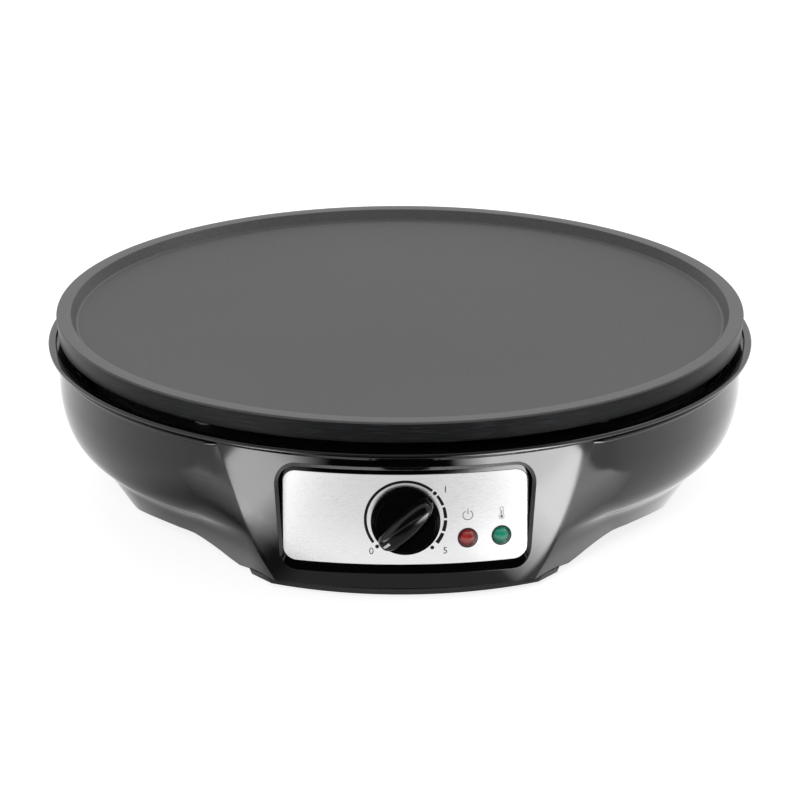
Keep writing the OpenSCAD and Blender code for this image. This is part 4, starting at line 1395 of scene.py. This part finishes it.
        # A thin black ring round each lens stands in for the shadow in the gap round it: painted shade.
        ring = radius + self.gap_shade_width
        hole = radius + 0.02
        gap_shade_profile = [(hole, -0.3, 0), (ring, -0.3, 0), (ring, 0.35, 0.15), (hole, 0.35, 0.1)]
        looks = (
            ("power", self.lamp_x[0], (0.55, 0.045, 0.045), (0.22, 0.008, 0.01), "lens_red"),
            ("ready", self.lamp_x[1], (0.02, 0.45, 0.27), (0.002, 0.17, 0.1), "lens_green"),
        )
        black = GlossPlastic("black lamp gap shade", edge=0.1).make()
        for name, x, colour, shaded_rim_colour, slot in looks:
            place = self.panel.lamp_frame(x, self.lamp_drop)
            # Each lens is painted brightest a little up and to the left of its centre: painted light.
            middle = tuple(place @ Vector((-0.15 * radius * MM, 0.25 * radius * MM, dome * MM)))
            material = LampPlastic(name + " lens", colour, shaded_rim_colour, middle, radius).make()
            lens = shop.turn(name + "_lens", profile, material, segments=64, place=place)
            shop.add(lens, "base", material, slot, [name + "_lamp_lens"])
            rim = shop.turn(name + "_lens_rim", gap_shade_profile, black, closed=True, segments=64, place=place)
            shop.add(rim, "base", black, "gloss_black", [name + "_lamp_lens"])

    def build(self, shop: Workshop) -> None:
        """Builds the panel's pieces."""
        self.build_plate(shop)
        self.build_prints(shop)
        self.build_lamps(shop)


# ---- Knob --------------------------------------------------------------------------------------------


@dataclass
class Knob:
    """The turning knob: a stepped body with a sunk face, a waisted grip bar and a white pointer."""

    panel: Panel
    radius: float = 14.5
    face_radius: float = 12.3
    gap: float = 0.5
    depth: float = 5.6
    grip_half_length: float = 14.2
    grip_half_width: float = 5.7
    grip_waist: float = 0.37
    grip_height: float = 6.4
    grip_dome: float = 0.5
    grip_root: float = 2.0
    zero_turn: float = -135.0
    cavity_radius: float = 9.0
    cavity_depth: float = 3.6
    skirt_height: float = 2.6
    step_height: float = 0.7
    face_sink: float = 0.7
    pointer_span: Span = (0.67, 0.92)
    pointer_half_width: float = 0.62

    def frame(self) -> Matrix:
        """Returns the knob's frame, turned so that +Y points at the 0 mark."""
        return self.panel.knob_frame() @ Matrix.Rotation(math.radians(-self.zero_turn), 4, "Z")

    def grip_width(self, along: float) -> float:
        """Returns half the width of the grip at a place along it, from -1 to 1."""
        return self.grip_half_width * (1 - self.grip_waist * along * along)

    def grip_point(self, along: float, turn: float) -> Point:
        """Returns a point of the grip.

        Args:
            along: Place along the bar, from -1 to 1.
            turn: Angle across it, from -90 to 90 degrees.

        Returns:
            The point, in the knob's frame.
        """
        power = 2 / 2.5
        end = max(1 - abs(along) ** 9, 0.0) ** 0.5
        tall = self.grip_height * (1 - self.grip_dome * along * along) * end + self.grip_root
        side = math.sin(math.radians(turn))
        rise = max(math.cos(math.radians(turn)), 0.0)
        x = math.copysign(abs(side) ** power, side) * self.grip_width(along) * (0.35 + 0.65 * end)
        root = self.gap + self.depth - self.grip_root
        return x, along * self.grip_half_length, root + tall * rise ** power

    def grip(self) -> bpy.types.Object:
        """Builds the grip bar as a closed solid."""
        alongs = [math.sin(math.radians(90 * k / 40)) for k in range(-40, 41)]
        turns = [-90 + 180 * k / 28 for k in range(29)]
        points = [self.grip_point(a, t) for a in alongs for t in turns]
        faces = grid_faces(len(alongs), len(turns), False)
        count = len(turns)
        for row in range(len(alongs) - 1):
            faces.append((row * count, (row + 1) * count, (row + 2) * count - 1, (row + 1) * count - 1))
        obj = mesh_object("knob_grip", points, faces=faces)
        tidy(obj, 60.0, 0.01)
        return obj

    def pointer(self) -> bpy.types.Object:
        """Builds the white mark on the grip's end, just proud of it."""
        start, end = self.pointer_span
        alongs = [start + (end - start) * k / 12 for k in range(13)]
        points = []
        for along in alongs:
            for side in (-1.0, -0.5, 0.0, 0.5, 1.0):
                share = (self.pointer_half_width * abs(side) / self.grip_width(along)) ** 1.25
                x, y, z = self.grip_point(along, math.degrees(math.asin(share)))
                points.append((math.copysign(x, side), y, z + 0.03))
        obj = mesh_object("pointer_mark", points, faces=grid_faces(13, 5, False))
        tidy(obj, 60.0)
        face_towards(obj, Vector((0, 0, 1)))
        thicken(obj, 0.06)
        return obj

    def build(self, shop: Workshop) -> None:
        """Builds the knob's pieces."""
        surface = {"roughness": 0.12, "edge": 0.25, "ripple": 0.003}
        gloss = GlossPlastic("gloss black knob", (0.004,) * 3, index=1.38, **surface).make()
        skirt = GlossPlastic("gloss black knob skirt", (0.003,) * 3, index=1.06, **surface).make()
        back, front = self.gap, self.gap + self.depth
        cavity, shoulder = back + self.cavity_depth, back + self.skirt_height
        floor = front - self.face_sink
        body = shop.turn("knob_body", [
            (0, cavity, 0), (self.cavity_radius, cavity, 0.4), (self.cavity_radius, back, 0.3),
            (self.radius, back, 0.3), (self.radius, shoulder, 0.5),
            (self.face_radius + 0.6, shoulder + self.step_height, 0.5), (self.face_radius + 0.2, front, 0.35),
            (self.face_radius - 0.4, front, 0.2), (self.face_radius - 0.7, floor, 0.3), (0, floor, 0),
        ], skirt, segments=128, place=self.frame())
        shop.add(body, "knob", skirt, "knob_black", ["control_knob"])
        grip = self.grip()
        grip.data.transform(self.frame())
        shop.add(grip, "knob", gloss, "knob_black", ["control_knob"])
        white = Ink("white pointer ink", (0.82, 0.82, 0.82)).make()
        mark = self.pointer()
        mark.data.transform(self.frame())
        shop.add(mark, "knob", white, "pointer_white", ["knob_pointer"])


# ---- Base and inner parts ----------------------------------------------------------------------------


@dataclass
class Base:
    """The bottom cover, its screws and the rubber feet."""

    foot_radius: float = 8.0
    foot_height: float = 4.0
    foot_ring: float = 111.9
    foot_turns: tuple[float, ...] = (8.0, 172.0, 90.0)
    console_foot: Span = (130.0, 12.0)
    screw_ring: float = 111.9
    screw_turns: tuple[float, ...] = (-11.0, 191.0, 74.0)
    console_screw: Span = (126.0, 22.0)
    screw_seat: float = 5.9
    screw_head: float = 2.85
    screw_head_height: float = 2.0
    screw_core: float = 1.5
    screw_length: float = 12.0
    slot_half: Span = (1.7, 0.3)

    def places(self, radius: float, turns: Sequence[float], console: Span) -> list[Point]:
        """Lists the places of the parts under the legs and of the two under the console.

        Args:
            radius: Radius of the ring under the legs.
            turns: Angle in degrees of each part on it.
            console: Radius of the two under the console, and their angle to each side of the front.

        Returns:
            Radius, angle in degrees and height of each place.
        """
        front, turn = console
        return [(radius, at, 0) for at in turns] + [(front, -90 - turn, 0), (front, -90 + turn, 0)]

    def build(self, shop: Workshop) -> None:
        """Builds the base's pieces."""
        matte = MattePlastic("matte black cover").make()
        shop.smooth_copy("bottom_cover", "base", matte, "matte_black")
        rubber = MattePlastic("black rubber", (0.018, 0.018, 0.018), 0.8, 0.06).make()
        foot = shop.turn("foot", [
            (0, 0, 0), (self.foot_radius - 2.5, 0, 0.4), (self.foot_radius, 0.5, 0.4),
            (self.foot_radius, self.foot_height, 0.2), (0, self.foot_height, 0),
        ], rubber, segments=48)
        places = self.places(self.foot_ring, self.foot_turns, self.console_foot)
        feet = shop.place_round("rubber_pads", foot, places, rubber)
        shop.add(feet, "base", rubber, "rubber", ["rubber_feet"])
        self.build_screws(shop)

    def build_screws(self, shop: Workshop) -> None:
        """Builds the cover's pan-head screws with their cross slots."""
        zinc = PlainMetal("zinc plated steel", (0.5, 0.5, 0.52)).make()
        seat, head, core = self.screw_seat, self.screw_head, self.screw_core
        low = seat - self.screw_head_height
        screw = shop.turn("screw", [
            (0, low, 0), (head - 0.55, low, 0.9), (head, seat - 0.6, 0.3), (head, seat, 0),
            (core, seat, 0), (core, seat + self.screw_length - 1, 0), (0, seat + self.screw_length, 0),
        ], zinc, segments=32)
        long, short = self.slot_half
        for x, y in ((long, short), (short, long)):
            cut(screw, box("slot", (-x, x), (-y, y), (low - 1.0, low + 0.8)), "DIFFERENCE")
        tidy(screw)
        places = self.places(self.screw_ring, self.screw_turns, self.console_screw)
        screws = shop.place_round("cover_screw_set", screw, places, zinc)
        shop.add(screws, "base", zinc, "zinc_steel", ["cover_screws"])


class InnerParts:
    """The finishes of the parts inside the housing, and of the inlet at the back."""

    finishes = (
        (PlainMetal("heat darkened sheath", (0.2, 0.18, 0.16), 0.5), ["heating_element"]),
        (PlainMetal("zinc plated sheet", (0.55, 0.56, 0.58), 0.3),
         ["element_clips", "bulb_clip", "fuse_clip", "lamp_retainers", "thermostat_bracket"]),
        (PlainMetal("turned steel", (0.5, 0.5, 0.52), 0.28),
         ["clip_screws", "plate_screws", "thermostat_shaft", "thermostat_nut"]),
        (PlainMetal("plain brass", (0.7, 0.52, 0.24), 0.3),
         ["thermostat_bush", "terminal_screws", "earth_screw"]),
        (PlainMetal("plain copper", (0.7, 0.36, 0.2), 0.3), ["sensor_bulb", "capillary_tube"]),
        # The heat shield is painted near black as painted shade, where it shows dark through the gap under
        # the plate.
        (MattePlastic("black heat shield in painted shade", (0.012, 0.012, 0.012), 0.6), ["heat_shield"]),
        (MattePlastic("unglazed ceramic", (0.72, 0.69, 0.62), 0.7, 0.05),
         ["insulating_washers", "thermal_fuse", "terminal_block"]),
        (MattePlastic("cream switch plastic", (0.66, 0.62, 0.5), 0.5, 0.02), ["thermostat_body"]),
        (Glass("neon glass"), ["power_neon"]), (Glass("second neon glass"), ["ready_neon"]),
        (MattePlastic("brown insulation", (0.16, 0.07, 0.03), 0.45, 0.01), ["live_lead"]),
        (MattePlastic("blue insulation", (0.02, 0.1, 0.4), 0.45, 0.01), ["neutral_lead"]),
        (MattePlastic("black insulation", (0.015, 0.015, 0.015), 0.45, 0.01), ["switched_lead"]),
        (MattePlastic("green insulation", (0.12, 0.38, 0.04), 0.45, 0.01), ["earth_lead"]),
    )
    fittings = MattePlastic("black fittings", (0.018, 0.018, 0.018), 0.45, 0.03)

    def build(self, shop: Workshop) -> None:
        """Gives each remaining node its finish."""
        black = self.fittings.make()
        looks = [(finish.make(), names) for finish, names in self.finishes]
        for material, names in (*looks, (black, ["gland_nut"])):
            for name in names:
                for slot in shop.nodes[name].material_slots:
                    slot.material = material
                LOG.info("%s: finished", name)
        shop.smooth_copy("cord_gland", "base", black, "rubber")


# ---- Studio ------------------------------------------------------------------------------------------


@dataclass
class Studio:
    """Floor, lights and camera."""

    eye_distance: float = 1634.0
    eye_elevation: float = 18.33
    eye_azimuth: float = -0.9
    target_height: float = 82.0
    lens: float = 163.6
    frame_shift: float = -0.1195
    ambient: float = 0.25
    floor_half: float = 3000.0
    floor_tone: float = 0.5
    floor_glow: float = 0.82
    card_step: float = 0.0003
    flat_cards: int = 0

    def camera(self) -> None:
        """Places the camera at the photograph's viewing angle."""
        data = bpy.data.cameras.new("camera")
        data.lens = self.lens
        data.sensor_width = 36.0
        data.shift_y = self.frame_shift
        data.clip_start = 0.05
        obj = in_scene("camera", data)
        up, round_turn = math.radians(self.eye_elevation), math.radians(self.eye_azimuth)
        flat = math.cos(up)
        way = Vector((math.sin(round_turn) * flat, -math.cos(round_turn) * flat, math.sin(up)))
        target = Vector((0, 0, self.target_height * MM))
        obj.location = target + way * self.eye_distance * MM
        obj.rotation_euler = (-way).to_track_quat("-Z", "Y").to_euler()
        bpy.context.scene.camera = obj

    def lamp(self, name: str, place: Point, target: Point, size: Span, power: float,
             glossy: bool = True) -> None:
        """Adds a soft rectangular light.

        Args:
            name: Name of the light.
            place: Its place in metres.
            target: What it points at, in metres.
            size: Its width and height in metres.
            power: Its power in watts.
            glossy: True if it shows in reflections.
        """
        data = bpy.data.lights.new(name, "AREA")
        data.shape = "RECTANGLE"
        data.size, data.size_y = size
        data.energy = power
        obj = in_scene(name, data)
        obj.location = place
        obj.rotation_euler = (Vector(target) - Vector(place)).to_track_quat("-Z", "Y").to_euler()
        obj.visible_camera = False
        obj.visible_glossy = glossy

    def seen_directly(self, tree: bpy.types.NodeTree) -> bpy.types.NodeSocket:
        """Returns 1 for camera, glossy and transmission rays, and 0 for others."""
        path = add_node(tree, "ShaderNodeLightPath")
        seen = calculate(tree, "MAXIMUM", path.outputs["Is Camera Ray"], path.outputs["Is Glossy Ray"])
        return calculate(tree, "MAXIMUM", seen, path.outputs["Is Transmission Ray"])

    def world(self) -> None:
        """Makes the pale backdrop."""
        world = bpy.data.worlds.new("studio")
        world.use_nodes = True
        tree = world.node_tree
        back = next(n for n in tree.nodes if n.type == "BACKGROUND")
        back.inputs["Color"].default_value = (1.0, 1.0, 1.0, 1.0)
        seen = calculate(tree, "MULTIPLY", self.seen_directly(tree), 1.0 - self.ambient)
        put(tree, calculate(tree, "ADD", seen, self.ambient), back.inputs["Strength"])
        bpy.context.scene.world = world

    def floor(self) -> None:
        """Makes the pale floor, which keeps the shadow."""
        half = self.floor_half
        obj = mesh_object("floor", [(-half, -half, 0), (half, -half, 0), (half, half, 0), (-half, half, 0)],
                          faces=[(0, 1, 2, 3)])
        sheet = MaterialSheet("pale floor", (self.floor_tone,) * 3, 0.8)
        sheet.set("Specular IOR Level", 0.0)
        sheet.set("Emission Color", (1.0, 1.0, 1.0, 1.0))
        glow = calculate(sheet.tree, "MULTIPLY", self.seen_directly(sheet.tree), self.floor_glow)
        sheet.set("Emission Strength", glow)
        obj.data.materials.append(sheet.material)

    def card(self, name: str, corners: Sequence[Point], strength: float, shade: float = 0.0,
             fades: Sequence[tuple[Point, float, float]] = (),
             shown_in: bpy.types.Collection | None = None) -> None:
        """Adds a card that only shows in reflections.

        Args:
            name: Name of the card.
            corners: Its four corners in metres.
            strength: How much light it adds to what lies behind it.
            shade: How much of what lies behind it it hides.
            fades: Soft edges: the way across the edge, where along it the card ends and where it is whole.
            shown_in: The pieces that it lights, if not all.
        """
        obj = mesh_object(name, [tuple(c / MM for c in corner) for corner in corners], faces=[(0, 1, 2, 3)])
        sheet = MaterialSheet(name, (0.0, 0.0, 0.0), 1.0)
        tree = sheet.tree
        whole = 1.0
        for way, end, start in fades:
            across = add_node(tree, "ShaderNodeVectorMath", {0: sheet.object_place, 1: way},
                              operation="DOT_PRODUCT")
            step = sheet.spread(across.outputs["Value"], 0.0, 1.0, (end, start))
            whole = calculate(tree, "MULTIPLY", step, whole)
        clear = calculate(tree, "SUBTRACT", 1.0, calculate(tree, "MULTIPLY", whole, shade))
        behind = add_node(tree, "ShaderNodeBsdfTransparent", {"Color": clear})
        light = calculate(tree, "MULTIPLY", whole, strength)
        glow = add_node(tree, "ShaderNodeEmission", {"Strength": light})
        both = add_node(tree, "ShaderNodeAddShader", {0: behind.outputs[0], 1: glow.outputs[0]})
        out = next(n for n in tree.nodes if n.type == "OUTPUT_MATERIAL")
        put(tree, both.outputs[0], out.inputs["Surface"])
        obj.data.materials.append(sheet.material)
        obj.visible_camera = obj.visible_diffuse = obj.visible_transmission = obj.visible_shadow = False
        if shown_in:
            obj.light_linking.receiver_collection = shown_in

    def flat_card(self, name: str, x: Span, y: Span, strength: float, shade: float,
                  soft: tuple[float, float, float, float], shown_in: bpy.types.Collection | None = None,
                  skew: float = 0.0) -> None:
        """Adds a level card just over the floor and over the cards before it.

        Args:
            name: Name of the card.
            x: Its span in X, in metres.
            y: Its span in Y, in metres.
            strength: How much light it adds to what lies under it.
            shade: How much of what lies under it it hides.
            soft: How far it fades at its left, right, front and back edge, in metres.
            shown_in: The pieces that it lights, if not all.
            skew: How far its back edge comes forward per metre of X, from where X is 0.
        """
        self.flat_cards += 1
        z = self.flat_cards * self.card_step
        corners = [(x[0], y[0], z), (x[1], y[0], z), (x[1], y[1], z), (x[0], y[1], z)]
        left, right, front, back = soft
        along_x, along_y, skewed = (1.0, 0.0, 0.0), (0.0, 1.0, 0.0), (skew, 1.0, 0.0)
        far = y[1] + skew * (x[0] if skew > 0 else x[1])
        fades = [(along_x, x[0], x[0] + left), (along_x, x[1], x[1] - right),
                 (along_y, y[0], y[0] + front), (skewed, far, far - back)]
        self.card(name, corners, strength, shade, fades, shown_in)

    def group(self, name: str, gloss: bool) -> bpy.types.Collection:
        """Gathers the gloss black pieces, or all others.

        Args:
            name: Name of the group.
            gloss: True for the gloss black pieces.

        Returns:
            The group.
        """
        group = bpy.data.collections.new(name)
        for obj in bpy.context.scene.objects:
            if obj.type == "MESH" and any(m and "gloss black" in m.name for m in obj.data.materials) == gloss:
                group.objects.link(obj)
        return group

    def build(self) -> None:
        """Builds the studio round the finished pieces."""
        bpy.context.scene.view_settings.view_transform = "Standard"
        black = self.group("black plastic pieces", True)
        others = self.group("other pieces", False)
        self.camera()
        self.world()
        self.floor()
        self.lamp("overhead", (0, 0.9, 1.0), (0, 0, 0.05), (1.6, 0.9), 6.5)
        self.lamp("side", (2.6, 0.2, 2.6), (0, 0, 0.05), (2.0, 2.0), 30.0)
        self.lamp("front_fill", (-0.7, -2.8, 1.6), (0, 0, 0.05), (1.2, 1.0), 40.0, False)
        self.card("front_flag", [(-4, -3.2, 0.1), (4, -3.2, 0.1), (4, -3.2, 3.2), (-4, -3.2, 3.2)], 0.0, 1.0)
        edge, near, mid, far = 0.003, 0.015, 0.04, 0.08
        corner = (near, near, near, mid)
        cards = (
            ("right_floor", (0.07, 0.6), (-0.2, 0.3), 0.3, 0.0, (far,) * 4, black),
            ("front_dark", (-0.16, 0.16), (-0.62, -0.205), 0.0, 1.0, (mid, mid, far, mid)),
            ("front_shade", (-0.11, 0.06), (-0.245, -0.13), 0.0, 0.5, (near,) * 4),
            ("left_shade", (-0.17, -0.07), (-0.17, -0.01), 0.0, 0.5, (mid,) * 4),
            ("left_card", (-0.172, -0.075), (-0.27, -0.1535), 9.0, 0.0, (edge, mid, mid, edge), black, -0.4),
            ("left_low", (-0.12, -0.05), (-0.18, -0.12), 0.0, 0.75, (near,) * 4, black),
            ("left_near", (-0.2, -0.08), (-0.185, -0.13), 1.3, 0.0, corner, black),
            ("right_card", (0.048, 0.176), (-0.31, -0.1425), 14.0, 0.0, (mid, edge, near, edge), black, 0.4),
            ("right_near", (0.09, 0.18), (-0.21, -0.12), 2.8, 0.0, corner, black),
            ("panel_card", (-0.4, 0.4), (-0.8, -0.16), 0.8, 0.0, (far, far, far, near), others),
        )
        for card in cards:
            self.flat_card(*card)


def main() -> None:
    """Builds the crepe maker."""
    logging.basicConfig(level=logging.INFO, format="%(name)s %(message)s")
    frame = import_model()
    shop = Workshop(turning_tree(), sweeping_tree(), placing_tree(), frame["nodes"])
    panel = Panel()
    for part in (GriddlePlate(), Housing(panel), ControlPanel(panel), Knob(panel), Base(), InnerParts()):
        LOG.info("building %s", type(part).__name__)
        part.build(shop)
    Studio().build()


if __name__ == "__main__":
    main()
